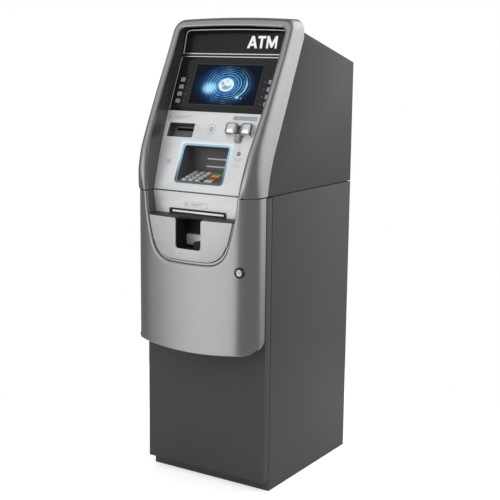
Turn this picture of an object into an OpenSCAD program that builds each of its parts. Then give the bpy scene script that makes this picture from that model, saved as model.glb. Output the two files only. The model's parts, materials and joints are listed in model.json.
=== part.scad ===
// Free-standing cash machine: steel safe cabinet, sheet-metal upper housing and two hinged plastic fascias.
// Millimetres. Origin: centre of the four floor anchor holes, on the floor. +Z up, the customer stands at -Y.

/* [Cabinet] */
// Width of the whole machine
cab_w = 400; // [392:1:410]
// Depth of the safe cabinet behind its door
cab_d = 450; // [440:1:470]
// Wall thickness of the steel safe
wall_t = 6; // [4:1:8]
// Thickness of the safe door slab
door_t = 26; // [26:1:28]
// Height of the seam between safe and upper housing
seam_z = 840; // [838:1:842]
// Height of the toe space under the door
toe_h = 32; // [26:1:40]
// Side length of the square of floor anchor holes
anchor_pitch = 300; // [240:10:310]
// Radius of one floor anchor hole
anchor_r = 8; // [5:0.5:9]

/* [Upper housing] */
// Height of the housing's front top edge
roof_front_z = 1274; // [1270:1:1276]
// Height of the housing's rear top edge
roof_rear_z = 1193; // [1180:1:1210]
// Sheet thickness of the housing
sheet_t = 2; // [1.5:0.5:3]

/* [Fascia shape] */
// Height where the front starts to lean back
lean_z = 785; // [780:1:790]
// Radius of the bend into the lean
lean_r = 408; // [400:1:415]
// Lean of the upper front, in degrees
lean = 25.4; // [25:0.1:26]
// Shell thickness of the plastic fascias
shell_t = 3; // [2.5:0.5:3.5]
// Height of the lower fascia's bottom edge
skirt_z = 400; // [394:1:410]
// Forward reach of the fascia at its middle
bow_n = 87; // [85:1:90]
// Forward reach of the fascia where the bow meets the corner
corner_n = 75; // [73:1:77]
// Highest point of the machine
crown_z = 1314.5; // [1312:0.5:1316]

/* [Control panel] */
// Lean of the flat panel inside the upper fascia
panel_lean = 24.5; // [24:0.1:25]
// Depth of the panel behind the front plane, at the seam
panel_set = 37.5; // [36:0.5:38]
// Width of the screen
screen_w = 222; // [200:1:226]
// Height of the screen
screen_h = 121; // [110:1:124]
// Pitch of the function keys
fkey_pitch = 21.6; // [21:0.1:22]
// Slope of the keypad floor
pad_slope = 15; // [14:0.5:16]

/* [Motion] */
// Radius of the safe door's hinge pin
door_pin_r = 5; // [4:0.5:5.5]
// Radius of the lower fascia's hinge pin
fascia_pin_r = 2.2; // [2:0.1:2.4]
// Radius of the upper fascia's hinge pin
crown_pin_r = 2.5; // [2:0.1:3]
// Radial clearance of every pin and shaft
fit = 0.05; // [0.03:0.01:0.08]
// Travel of the safe bolts
bolt_travel = 16; // [12:1:18]

/* [Hidden] */
$fn = 48;

half_w = cab_w/2;
body_y = -cab_d/2;
rear_face_y = cab_d/2;
door_gap = 3;
front_y = body_y - door_gap - door_t;
safe_top_z = seam_z - 1.5;
graphite = [0.30, 0.30, 0.31];
silver = [0.72, 0.73, 0.74];
black = [0.07, 0.07, 0.08];
steel = [0.62, 0.64, 0.66];
zinc = [0.75, 0.75, 0.70];

// ---- side profile: the joint line between the dark housing and the silver fascia ----
bend_z = lean_z + lean_r*sin(lean);
bend_y = front_y + lean_r*(1 - cos(lean));
crown_y = -72.5;
function lean_at(z) = z < lean_z ? 0 : z < bend_z ? asin((z - lean_z)/lean_r) : lean;
function profile_y(z) = z < lean_z ? front_y
                      : z < bend_z ? front_y + lean_r*(1 - cos(lean_at(z)))
                      : bend_y + (z - bend_z)*tan(lean);
function joint_y(z) = min(profile_y(z), crown_y);
// A point n in front of the profile, measured square to it
function ahead_y(z, n) = profile_y(z) - n/cos(lean_at(z));

// ---- flat inner panel: local x across, local z up the slope, local y into the machine ----
function panel_yz(s, d) = [front_y - panel_set + s*sin(panel_lean) + d*cos(panel_lean),
                           seam_z + s*cos(panel_lean) - d*sin(panel_lean)];
module on_panel(x = 0, s = 0)
    translate([0, front_y - panel_set, seam_z]) rotate([-panel_lean, 0, 0]) translate([x, 0, s]) children();

// ---- helpers ----
function quad_bezier(a, b, c, n) = [for (i = [0:n]) let (t = i/n) (1-t)*(1-t)*a + 2*t*(1-t)*b + t*t*c];
function mirrored(pts) = concat(pts, [for (i = [len(pts)-1:-1:0]) [-pts[i][0], pts[i][1]]]);
function arc(cx, cy, r, a0, a1, n) =
    [for (i = [0:n]) let (a = a0 + (a1 - a0)*i/n) [cx + r*cos(a), cy + r*sin(a)]];
function round_rect(w, h, r) = let (x = w/2 - r, y = h/2 - r)
    concat(arc(x, y, r, 0, 90, 5), arc(-x, y, r, 90, 180, 5),
           arc(-x, -y, r, 180, 270, 5), arc(x, -y, r, 270, 360, 5));
module box(lo, hi) translate(lo) cube(hi - lo);
module rod_x(x0, x1, y, z, r) translate([x0, y, z]) rotate([0, 90, 0]) cylinder(h = x1 - x0, r = r);
module rod_y(y0, y1, x, z, r) translate([x, y0, z]) rotate([-90, 0, 0]) cylinder(h = y1 - y0, r = r);
module rod_z(z0, z1, x, y, r) translate([x, y, z0]) cylinder(h = z1 - z0, r = r);
// Extrudes a [x, z] outline along Y
module slab_y(y0, y1) translate([0, y1, 0]) rotate([90, 0, 0]) linear_extrude(y1 - y0) children();
// Extrudes a [y, z] outline along X
module slab_x(x0, x1) translate([x0, 0, 0]) rotate([90, 0, 90]) linear_extrude(x1 - x0) children();

// ---- opening in the fascias ----
lip_low_w = 150;
lip_top_w = 175;
lip_top_z = 1286;
lip_arch = 4;
lip_corner_r = 16;
lip_leg = lip_top_z - lip_corner_r - seam_z;
notch_bend_z = seam_z - 137;
notch_floor_z = 651;
function upper_lip_w(z) =
    lip_top_w - (lip_top_w - lip_low_w)*pow(max(0, lip_leg + seam_z - z)/lip_leg, 3);
function lower_lip_w(z) = lip_low_w - 26*pow(max(0, seam_z - z)/137, 1.6);
// Right half of the U-shaped opening in the lower fascia, from the seam down to the middle
function notch_half(side, rise, top_z) = concat(
    [for (i = [0:6]) let (z = top_z + (notch_bend_z - top_z)*i/6) [lower_lip_w(z) - side, z]],
    [for (p = quad_bezier([124, notch_bend_z], [110, notch_floor_z + 4], [60, notch_floor_z + 1], 7))
        if (p[1] < notch_bend_z) [p[0] - side, p[1] + rise]],
    [[20, notch_floor_z + rise]]);
module notch_shape(side = 0, rise = 0, top_z = seam_z + 10) polygon(mirrored(notch_half(side, rise, top_z)));

// ---- plan section of the lower fascia ----
flange_gap = 4;
flange_n = 19;
lip_x = 150;
function front_n(x) = bow_n - (bow_n - corner_n)*pow(x/lip_x, 2);
function plan_half(inset) = concat(
    [[half_w - inset, front_y - flange_gap]],
    quad_bezier([half_w - inset, front_y - flange_n], [half_w - inset, front_y - 66 + inset],
                [lip_x, front_y - corner_n + inset], 9),
    [for (i = [1:7]) let (x = lip_x*(1 - i/8)) [x, front_y - front_n(x) + inset]]);
module plan_shape(inset = 0)
    polygon(concat(mirrored(plan_half(inset))));
// The skirt's lower edge is bowed: lowest in the middle, with a round corner each side
skirt_r = 26;
skirt_bow = 9.5;
function skirt_edge(x) = skirt_z + skirt_bow*pow(x/lip_x, 2);
skirt_corner_z = skirt_edge(half_w - skirt_r) + skirt_r;
module skirt_shape()
    polygon(mirrored(concat([[half_w + 1, seam_z - 1]], [[half_w + 1, skirt_corner_z + 1]],
                            arc(half_w - skirt_r, skirt_corner_z, skirt_r, 0, -80, 8),
                            [for (x = [160:-20:20]) [x, skirt_edge(x)]])));

// ================= safe cabinet =================
cable_x = 110;
cable_y = -20;
cable_r = 20;
shelf_y = body_y + 34;
jamb_w = 30;
jamb_t = 6;
hinge_x = -half_w + 9;
hinge_y = body_y - 11;
hinge_zs = [130, 720];
knuckle_r = 8;
module safe_body() {
    color(graphite) difference() {
        union() {
            difference() {
                box([-half_w, body_y, 0], [half_w, rear_face_y, safe_top_z]);
                box([-half_w + wall_t, body_y - 1, 8],
                    [half_w - wall_t, rear_face_y - wall_t, safe_top_z - 6]);
            }
            difference() {
                box([-half_w, body_y, 0], [half_w, body_y + jamb_t, safe_top_z]);
                box([-half_w + jamb_w, body_y - 1, 60], [half_w - jamb_w, body_y + 7, safe_top_z - 28]);
            }
            box([-150, shelf_y, 430], [150, rear_face_y - 3, 434]);
            for (x = [-146, 142]) box([x, shelf_y, 4], [x + 4, rear_face_y - 3, 432]);
            for (z = hinge_zs) {
                rod_z(z, z + 40, hinge_x, hinge_y, knuckle_r);
                box([hinge_x - knuckle_r, hinge_y, z], [hinge_x + knuckle_r, body_y + 1, z + 40]);
            }
        }
        for (z = hinge_zs) rod_z(z - 1, z + 41, hinge_x, hinge_y, door_pin_r + fit);
        for (x = [-anchor_pitch/2, anchor_pitch/2], y = [-anchor_pitch/2, anchor_pitch/2])
            rod_z(-1, 10, x, y, anchor_r);
        rod_z(safe_top_z - 10, safe_top_z + 1, cable_x, cable_y, cable_r);
    }
}
module hinge_pins() {
    color(steel) {
        for (z = hinge_zs) rod_z(z - 20, z + 60, hinge_x, hinge_y, door_pin_r);
        for (x = [-150, 110]) rod_x(x, x + 40, crown_axis_y, crown_axis_z, crown_pin_r);
    }
}

// ================= safe door =================
cash_slot_z = 785;
handle_x = 70;
handle_z = 500;
dial_z = 610;
inner_y = body_y + 9;
fascia_axis_x = -192;
fascia_axis_y = front_y - 12;
fascia_hinge_zs = [480, 770];
module safe_door() {
    top_z = safe_top_z - 1.5;
    color(graphite) difference() {
        union() {
            translate([0, 0, toe_h]) linear_extrude(top_z - toe_h)
                polygon([[-half_w, front_y], [half_w, front_y], [half_w, front_y + door_t],
                         [-half_w + 4, front_y + door_t], [-half_w, front_y + door_t - 4]]);
            box([-half_w + 45, front_y + door_t - 1, 70], [half_w - 45, inner_y, safe_top_z - 40]);
            for (z = bolt_zs) box([142, inner_y - 1, z - 13], [154, bolt_y + 12, z + 13]);
            for (z = fascia_hinge_zs) {
                rod_z(z, z + 20, fascia_axis_x, fascia_axis_y, 4.2);
                box([fascia_axis_x - 4.2, fascia_axis_y, z], [fascia_axis_x + 4.2, front_y + 1, z + 20]);
            }
        }
        for (z = bolt_zs) rod_x(140, 156, bolt_y, z, bolt_r + fit);
        for (z = hinge_zs) {
            box([-half_w - 1, hinge_y - knuckle_r - 1, z - 1],
                [hinge_x + knuckle_r + 3, front_y + door_t + 1, z + 41]);
            rod_z(z - 21, z + 61, hinge_x, hinge_y, door_pin_r + fit);
        }
        for (z = fascia_hinge_zs) rod_z(z - 1, z + 21, fascia_axis_x, fascia_axis_y, fascia_pin_r + fit);
        box([-100, front_y - 1, cash_slot_z - 12], [100, body_y + 20, cash_slot_z + 10]);
        rod_y(front_y - 1, body_y + 20, handle_x, handle_z, 6 + fit);
        rod_y(front_y - 1, body_y + 20, handle_x, dial_z, 5 + fit);
    }
}
bolt_r = 9;
bolt_y = inner_y + 0.5 + bolt_r;
bolt_zs = [180, 420, 660];
module door_bolts() {
    color(steel) {
        for (z = bolt_zs) rod_x(108, 165, bolt_y, z, bolt_r);
        box([112, bolt_y - bolt_r, bolt_zs[0] - 20], [124, bolt_y + bolt_r, bolt_zs[2] + 20]);
        box([92, bolt_y - 3, handle_z - 8], [113, bolt_y + 3, handle_z + 8]);
    }
}
module door_handle() {
    color(zinc) {
        rod_y(front_y - 8, inner_y + 10, handle_x, handle_z, 6);
        rod_y(front_y - 12, front_y - 1, handle_x, handle_z, 17);
        rod_y(inner_y + 1, inner_y + 10, handle_x, handle_z, 16);
        difference() {
            box([handle_x - 48, front_y - 26, handle_z - 9], [handle_x + 48, front_y - 11, handle_z + 9]);
            for (s = [-1, 1]) rod_z(handle_z - 10, handle_z + 10, handle_x + 34*s, front_y - 44, 22);
        }
    }
}
module combination_dial() {
    color(black) {
        rod_y(front_y - 14, inner_y + 8, handle_x, dial_z, 5);
        rod_y(front_y - 10, front_y - 1, handle_x, dial_z, 31);
        difference() {
            rod_y(front_y - 30, front_y - 9, handle_x, dial_z, 21);
            for (a = [0:30:330])
                rod_y(front_y - 31, front_y - 12, handle_x + 22*cos(a), dial_z + 22*sin(a), 3);
        }
    }
}

// ================= cash dispenser in the safe =================
frame_x = 118;
pick_y = -110;
pick_z = 620;
feed_y = -150;
feed_z = 760;
pulley_x = frame_x + 8;
pulley_r = 14;
shaft_r = 4;
module dispenser_frame() {
    color(steel) difference() {
        union() {
            for (s = [-1, 1]) slab_x(s*frame_x - 1.5, s*frame_x + 1.5)
                polygon([[-178, 434], [150, 434], [150, 640], [90, 740], [-60, 810], [-178, 810]]);
            for (p = [[-165, 800], [130, 625], [80, 730]]) rod_x(-frame_x, frame_x, p[0], p[1], 5);
            box([-frame_x, -150, 432 + 2], [frame_x, 140, 437]);
            slab_x(-90, 90) polygon([[-196, cash_slot_z + 3], [-120, cash_slot_z + 3],
                                     [-120, cash_slot_z + 5], [-196, cash_slot_z + 5]]);
            slab_x(-90, 90) polygon([[-196, cash_slot_z - 7], [-172, cash_slot_z - 7],
                                     [-172, cash_slot_z - 5],
                                     [-196, cash_slot_z - 5]]);
            for (s = [-1, 1]) slab_x(s*90 - 1, s*90 + 1)
                polygon([[-196, cash_slot_z - 7], [-172, cash_slot_z - 7], [-120, cash_slot_z - 7],
                         [-120, cash_slot_z + 5], [-196, cash_slot_z + 5]]);
            for (s = [-1, 1]) rod_x(min(s*90, s*frame_x), max(s*90, s*frame_x), -158, cash_slot_z - 1, 4);
        }
        rod_x(-frame_x - 10, frame_x + 10, pick_y, pick_z, shaft_r + fit);
        rod_x(-frame_x - 10, frame_x + 10, feed_y, feed_z, shaft_r + fit);
    }
}
module cash_cassette() {
    color([0.25, 0.27, 0.30]) difference() {
        union() {
            box([-104, -160, 437], [104, 120, 578]);
            box([-40, -174, 500], [40, -158, 520]);
        }
        box([-98, -150, 445], [98, 110, 579]);
        box([-34, -168, 490], [34, -160.5, 530]);
        box([-30, -165, 498], [30, -159, 522]);
    }
}
module roller_shaft(y, z, r, xs) {
    rod_x(-pulley_x - 8, frame_x + 8, y, z, shaft_r);
    rod_x(-pulley_x - 6, -pulley_x + 4, y, z, pulley_r);
    for (x = xs) rod_x(x - 12, x + 12, y, z, r);
}
module pick_rollers() { color([0.16, 0.16, 0.17]) roller_shaft(pick_y, pick_z, 24, [-60, -20, 20, 60]); }
module feed_rollers() { color([0.16, 0.16, 0.17]) roller_shaft(feed_y, feed_z, 15, [-70, -25, 25, 70]); }
belt_gap = 0.5;
belt_t = 2;
// Open belt running round the two equal pulleys
module belt_outline(r) {
    run = norm([feed_y - pick_y, feed_z - pick_z]);
    tilt = atan2(feed_z - pick_z, feed_y - pick_y);
    translate([pick_y, pick_z]) rotate(tilt) {
        circle(r = r);
        translate([run, 0]) circle(r = r);
        translate([0, -r]) square([run, 2*r]);
    }
}
module drive_belt() {
    color(black) slab_x(-pulley_x - 5, -pulley_x + 3) difference() {
        belt_outline(pulley_r + belt_gap + belt_t);
        belt_outline(pulley_r + belt_gap);
    }
}

// ================= lower fascia =================
slot_face_y = front_y - 38;
lock_x = 161;
lock_z = 642;
lock_ring_r = 14.5;
module lower_fascia() {
    color(silver) difference() {
        union() {
            intersection() {
                translate([0, 0, skirt_z]) linear_extrude(seam_z - 1.5 - skirt_z) difference() {
                    plan_shape(0);
                    plan_shape(shell_t);
                    translate([-half_w + shell_t, front_y - flange_gap - 1]) square([cab_w - 2*shell_t, 20]);
                }
                slab_y(front_y - bow_n - 5, front_y) skirt_shape();
            }
            intersection() {
                translate([0, 0, skirt_z]) linear_extrude(seam_z - 1.5 - skirt_z) plan_shape(shell_t/2);
                slab_y(front_y - bow_n - 5, slot_face_y) difference() {
                    notch_shape(-shell_t, -shell_t);
                    notch_shape(0, 0, seam_z + 20);
                }
            }
        }
        slab_y(front_y - bow_n - 10, front_y - corner_n + 40) notch_shape(0, 0);
        for (z = fascia_hinge_zs) box([-half_w - 1, front_y - 22, z - 2], [-half_w + 8, front_y, z + 22]);
        rod_y(front_y - bow_n, front_y - 20, lock_x, lock_z, lock_ring_r + 0.1);
    }
}
module lower_frame() {
    y0 = front_y - 15;
    color(steel) difference() {
        union() {
            intersection() {
                box([-half_w + 8, y0, skirt_z + 26], [half_w - 5, y0 + 2, seam_z - 3]);
                slab_y(y0 - 1, y0 + 3) skirt_shape();
            }
            for (z = fascia_hinge_zs, e = [-20.3, 20.3]) {
                rod_z(z + e, z + e + 20, fascia_axis_x, fascia_axis_y, 4.2);
                box([fascia_axis_x, y0, z + e], [fascia_axis_x + 12, y0 + 3.5, z + e + 20]);
            }
        }
        box([-150, y0 - 1, 445], [150, y0 + 4, 660]);
        box([-105, y0 - 1, 675], [105, y0 + 4, 805]);
        for (z = fascia_hinge_zs) box([-half_w - 1, y0 - 1, z - 0.3], [fascia_axis_x + 7, y0 + 4, z + 20.3]);
        rod_y(y0 - 1, y0 + 4, lock_x, lock_z, 20);
    }
    color(steel) for (z = fascia_hinge_zs) rod_z(z - 20, z + 40, fascia_axis_x, fascia_axis_y, fascia_pin_r);
}
slot_z0 = 779;
slot_z1 = 791;
slot_panel_z = 774;
flap_y = slot_face_y + 1.5;
flap_pin_r = 1;
flap_z = 788;
module cash_slot_panel() {
    color(silver) difference() {
        slab_y(slot_face_y, slot_face_y + 3) intersection() {
            notch_shape(-shell_t, 0, seam_z - 2);
            translate([-half_w, slot_panel_z]) square([cab_w, 80]);
        }
        box([-93, slot_face_y - 1, slot_z0], [93, slot_face_y + 4, slot_z1]);
        rod_x(-96, 96, flap_y, flap_z, flap_pin_r + fit);
    }
}
module cash_shutter() {
    color(steel) {
        box([-86, flap_y - 1, flap_z - 6], [86, flap_y + 1, flap_z]);
        rod_x(-95, 95, flap_y, flap_z, flap_pin_r);
    }
}
module tray_panel() {
    color(silver) difference() {
        intersection() {
            translate([0, 0, 600]) linear_extrude(773 - 600) difference() {
                plan_shape(2);
                plan_shape(5);
                translate([-half_w, front_y - 50]) square([cab_w, 60]);
            }
            slab_y(front_y - bow_n - 5, front_y - 40) notch_shape(3.5, 8);
        }
        slab_y(front_y - bow_n - 5, front_y - 40) translate([0, 740]) polygon(round_rect(84, 100, 10));
    }
}
module cash_tray() {
    shelf_rear_z = 778.5;
    shelf_front_z = 772.5;
    color([0.16, 0.16, 0.17]) difference() {
        union() {
            intersection() {
                slab_x(-half_w, half_w) polygon([[slot_face_y, shelf_rear_z], [slot_face_y, shelf_rear_z - 4],
                    [front_y - bow_n, shelf_front_z - 4], [front_y - bow_n, shelf_front_z]]);
                translate([0, 0, 700]) linear_extrude(100) plan_shape(5.3);
                slab_y(front_y - bow_n - 5, slot_face_y) notch_shape(3.5, 8);
            }
            box([-46, front_y - 80, 684], [46, front_y - 15, 773]);
            box([-112, front_y - 17, 690], [112, front_y - 15, 760]);
        }
        box([-43, front_y - 90, 687], [43, front_y - 20, 769]);
        rod_z(760, 790, 0, front_y - 91, 45);
        box([-50, front_y - 100, 774.4], [50, front_y - 81, 790]);
    }
    color([0.45, 0.46, 0.47]) box([2, front_y - 60, 687], [40, front_y - 22, 707]);
}
module lock_housing() {
    face = front_y - 77;
    color(black) difference() {
        union() {
            rod_y(face, face + 12, lock_x, lock_z, lock_ring_r);
            rod_y(face, face + 40, lock_x, lock_z, 10.8);
        }
        rod_y(face - 1, face + 41, lock_x, lock_z, 9 + fit);
    }
}
module lock_cylinder() {
    face = front_y - 76;
    color(steel) {
        difference() {
            rod_y(face, face + 43, lock_x, lock_z, 9);
            rod_y(face - 1, face + 1, lock_x, lock_z, 6);
            box([lock_x - 1, face - 1, lock_z - 4], [lock_x + 1, face + 12, lock_z + 4]);
        }
        box([lock_x - 6, face + 42, lock_z - 26], [lock_x + 6, face + 45, lock_z + 8]);
    }
}

// ================= upper housing =================
module housing_side() {
    polygon(concat([[rear_face_y, seam_z + 1.5], [rear_face_y, roof_rear_z], [crown_y + 0.5, roof_front_z]],
                   [for (i = [0:12]) let (z = 1252 + (seam_z + 1.5 - 1252)*i/12) [profile_y(z) + 2, z]]));
}
module housing_hollow() {
    t = sheet_t;
    polygon(concat([[rear_face_y - t, seam_z + t + 1.5], [rear_face_y - t, roof_rear_z - t - 0.5],
                    [crown_y - 20, roof_front_z + 5 - t]],
                   [for (i = [0:12]) let (z = 1252 + (seam_z + 2 + 1.5 - 1252)*i/12)
                       [profile_y(z) - 15, z]]));
}
crown_axis_y = -67;
crown_axis_z = 1283;
crown_knuckle_r = 5;
module upper_housing() {
    color(graphite) difference() {
        union() {
            difference() {
                slab_x(-half_w, half_w) housing_side();
                slab_x(-half_w + sheet_t, half_w - sheet_t) housing_hollow();
            }
            box([-half_w + 8, front_y + 40, safe_top_z], [half_w - 8, rear_face_y - 8, seam_z + 4]);
            for (x = [-150, 125]) {
                rod_x(x, x + 25, crown_axis_y, crown_axis_z, crown_knuckle_r);
                box([x, crown_axis_y - 4, 1265], [x + 25, crown_axis_y + 4, crown_axis_z]);
            }
        }
        rod_z(safe_top_z - 1, seam_z + 5, cable_x, cable_y, cable_r);
        box([-165, rear_face_y - 10, 880], [165, rear_face_y + 1, 1140]);
        rod_x(-160, 160, crown_axis_y, crown_axis_z, crown_pin_r + fit);
    }
}
module rear_panel() {
    color(graphite) difference() {
        box([-178, rear_face_y, 866], [178, rear_face_y + 2, 1154]);
        for (x = [-110:20:110]) box([x - 4, rear_face_y - 1, 1070], [x + 4, rear_face_y + 3, 1120]);
        box([95, rear_face_y - 1, 892], [145, rear_face_y + 3, 924]);
    }
}
module power_inlet() {
    color(black) difference() {
        union() {
            box([95.5, rear_face_y - 22, 892.5], [144.5, rear_face_y + 2, 923.5]);
            box([90, rear_face_y + 2, 887], [150, rear_face_y + 4, 929]);
        }
        box([106, rear_face_y - 14, 897], [134, rear_face_y + 5, 919]);
    }
    color(zinc) for (x = [113, 120, 127]) box([x - 1, rear_face_y - 15, 905], [x + 1, rear_face_y - 3, 911]);
}
module computer_box() {
    color(steel) difference() {
        union() {
            box([-140, -70, seam_z + 4], [60, 190, 930]);
            box([-140, -70, 929], [60, 20, 1000]);
            box([80, 40, seam_z + 4], [150, 190, 950]);
            box([-140, 40, seam_z + 4], [150, 190, seam_z + 6]);
        }
        for (z = [860:12:910]) box([-120, -71, z], [-20, -68, z + 5]);
        box([92, 30, 870], [138, 42, 930]);
    }
}

// ================= upper fascia =================
crown_r = 28;
crown_drop = 4.5;
top_corner_z = crown_z - crown_drop - crown_r;
leg_steps = 14;
corner_steps = 6;
top_steps = 10;
leg_top_z = 1250;
function blend_up(z, a, b) = a + (b - a)*min(1, max(0, (z - seam_z)/(leg_top_z - seam_z)));
function crease_n(z) = blend_up(z, flange_n, 41);
function shoulder_n(z) = z < 900 ? 66 + 9*(z - seam_z)/60 : blend_up(z, 76.3, 66);
function lip_n(z) = 78 - 12*pow(min(1, max(0, (z - 960)/250)), 1.2);
// Stations run round the opening: [outer x, outer z, lip x, lip z, outward x, outward z]
function leg_station(i) = let (z = seam_z + 1.5 + (leg_top_z - seam_z - 1.5)*pow(i/leg_steps, 1.15))
    [half_w, z, upper_lip_w(z), z, 1, 0];
function corner_station(i) = let (a = 90*i/corner_steps)
    [half_w - crown_r + crown_r*cos(a), top_corner_z + crown_r*sin(a),
     lip_top_w - lip_corner_r + lip_corner_r*cos(a), lip_top_z - lip_corner_r + lip_corner_r*sin(a),
     cos(a), sin(a)];
function top_station(i) = let (u = 1 - 2*i/top_steps)
    [u*(half_w - crown_r), crown_z - crown_drop*u*u,
     u*(lip_top_w - lip_corner_r), lip_top_z + lip_arch*(1 - u*u), 0, 1];
function flipped(s) = [-s[0], s[1], -s[2], s[3], -s[4], s[5]];
stations = concat([for (i = [0:leg_steps]) leg_station(i)],
                  [for (i = [0:corner_steps]) corner_station(i)],
                  [for (i = [1:top_steps - 1]) top_station(i)],
                  [for (i = [corner_steps:-1:0]) flipped(corner_station(i))],
                  [for (i = [leg_steps:-1:0]) flipped(leg_station(i))]);
function panel_y(z) = front_y - panel_set + (z - seam_z)*tan(panel_lean);
// One closed ring of points: flange, rounded corner, lip, recess wall, and back along the inside
function ring(s) =
    let (ox = s[0], oz = s[1], lx = s[2], lz = s[3], dx = s[4], dz = s[5], t = shell_t,
         ix = ox - dx*t, iz = oz - dz*t, mx = lx + 16*dx, mz = lz + 16*dz,
         n = lip_n(lz),
         crease = crease_n(oz),
         shoulder = shoulder_n(oz),
         skin = quad_bezier([ox, ahead_y(oz, crease), oz], [ox, ahead_y(oz, shoulder), oz],
                            [mx, ahead_y(mz, n + 1), mz], 6),
         back = quad_bezier([mx, ahead_y(mz, n - t), mz], [ix, ahead_y(iz, shoulder - t), iz],
                            [ix, ahead_y(iz, crease), iz], 4))
    concat([[ox, joint_y(oz) - 1, oz]], skin,
           [[lx + 5*dx, ahead_y(lz + 5*dz, n), lz + 5*dz], [lx + dx, ahead_y(lz + dz, n - 2), lz + dz],
            [lx, ahead_y(lz, n - 6), lz], [lx, panel_y(lz), lz], [lx + t*dx, panel_y(lz + t*dz), lz + t*dz],
            [lx + t*dx, ahead_y(lz + t*dz, n - t - 3), lz + t*dz]],
           back, [[ix, joint_y(oz) - 1, iz]]);
module swept(rings) {
    n = len(rings[0]);
    m = len(rings);
    polyhedron(points = [for (r = rings) each r],
        faces = concat([[for (i = [0:n-1]) i]],
                       [for (k = [0:m-2], i = [0:n-1])
                           each [[k*n + i, (k+1)*n + i, (k+1)*n + (i+1)%n],
                                 [k*n + i, (k+1)*n + (i+1)%n, k*n + (i+1)%n]]],
                       [[for (i = [n-1:-1:0]) (m-1)*n + i]]), convexity = 8);
}
module upper_fascia() { color(silver) swept([for (s = stations) ring(s)]); }

plate_t = 3;
module panel_plate(s0, s1, inset = -4, steps = 6) {
    pts = [for (i = [0:steps]) let (s = s0 + (s1 - s0)*i/steps)
        [upper_lip_w(seam_z + s*cos(panel_lean)) - inset, s]];
    on_panel() slab_y(0, plate_t) polygon(mirrored(pts));
}
header_s0 = 398;
bezel_s0 = 236;
header_s1 = 496;
// The lit sign stands a little more upright than the panel, as a wedge-shaped box open at the back
sign_lean = 14.5;
sign_s = 405;
sign_h = 78;
sign_w = 342;
sign_r = 18;
function sign_yz(h, d) = panel_yz(sign_s, 0)
    + [h*sin(sign_lean) + d*cos(sign_lean), h*cos(sign_lean) - d*sin(sign_lean)];
sign_top_z = panel_yz(488, 0)[1];
module header_panel() {
    color(black) difference() {
        union() {
            panel_plate(header_s0, header_s1);
            intersection() {
                slab_x(-sign_w/2, sign_w/2)
                    polygon([panel_yz(sign_s, 1), sign_yz(0, 0), sign_yz(sign_h, 0),
                             panel_yz(488, 0), panel_yz(488, 1)]);
                slab_y(sign_yz(0, 0)[0] - 1, panel_yz(488, 2)[0])
                    polygon(mirrored(concat([[sign_w/2 + 1, sign_yz(0, 0)[1] - 5]],
                                            [[sign_w/2 + 1, sign_top_z - sign_r]],
                                            arc(sign_w/2 - sign_r, sign_top_z - sign_r, sign_r, 0, 90, 6))));
            }
        }
        slab_x(-150, 150)
            polygon([sign_yz(16, 2.5), sign_yz(sign_h - 2.5, 2.5),
                     panel_yz(485, plate_t + 1), panel_yz(422, plate_t + 1)]);
    }
}
screen_s = 318;
fkey_x = 147;
fkey_s0 = 265;
fkey_w = 16;
fkey_h = 13;
key_gap = 0.3;
module display_bezel() {
    color(black) difference() {
        panel_plate(bezel_s0, header_s0);
        on_panel(0, screen_s) box([-screen_w/2, -1, -screen_h/2], [screen_w/2, 5, screen_h/2]);
        for (x = [-fkey_x, fkey_x], i = [0:3]) on_panel(x, fkey_s0 + i*fkey_pitch)
            box([-fkey_w/2 - key_gap, -1, -fkey_h/2 - key_gap], [fkey_w/2 + key_gap, 5, fkey_h/2 + key_gap]);
    }
}
module display_module() {
    color([0.1, 0.25, 0.5]) on_panel(0, screen_s) {
        box([-screen_w/2 + 0.3, 1.6, -screen_h/2 + 0.3], [screen_w/2 - 0.3, 4, screen_h/2 - 0.3]);
        box([-125, plate_t + 0.2, -72], [125, 16, 72]);
        box([-90, 15, -50], [90, 34, 50]);
    }
}
module fkey(side, row) {
    color(silver) on_panel(side*fkey_x, fkey_s0 + (row - 1)*fkey_pitch) {
        difference() {
            box([-fkey_w/2, -2, -fkey_h/2], [fkey_w/2, 6, fkey_h/2]);
            rod_y(-31.6, -1.3, 0, 0, 4);
        }
        box([-fkey_w/2 - 1.5, plate_t + 0.3, -fkey_h/2 - 1.5],
            [fkey_w/2 + 1.5, plate_t + 1.5, fkey_h/2 + 1.5]);
    }
}
pad_x = -8.5;
pad_w = 150;
pad_s0 = 30;
pad_s1 = 136;
pad_depth_y = 85;
chute_x = -111.5;
chute_w = 88;
chute_s0 = 158;
chute_s1 = 200;
reader_x = 88;
reader_s = 183;
jack_x = 100;
jack_s = 120;
module control_panel() {
    color(silver) difference() {
        panel_plate(2, bezel_s0);
        on_panel(pad_x, (pad_s0 + pad_s1)/2)
            slab_y(-1, 5) polygon(round_rect(pad_w, pad_s1 - pad_s0, 8));
        on_panel(chute_x, (chute_s0 + chute_s1)/2)
            slab_y(-1, 5) polygon(round_rect(chute_w, chute_s1 - chute_s0, 3));
        on_panel(reader_x, reader_s) box([-32, -1, -14], [32, 5, 14]);
        on_panel(jack_x, jack_s) rod_y(-1, 5, 0, 0, 5);
    }
    color(black) on_panel(jack_x, jack_s) difference() {
        rod_y(-1, 12, 0, 0, 5);
        rod_y(-2, 9, 0, 0, 2.1);
    }
}
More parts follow.
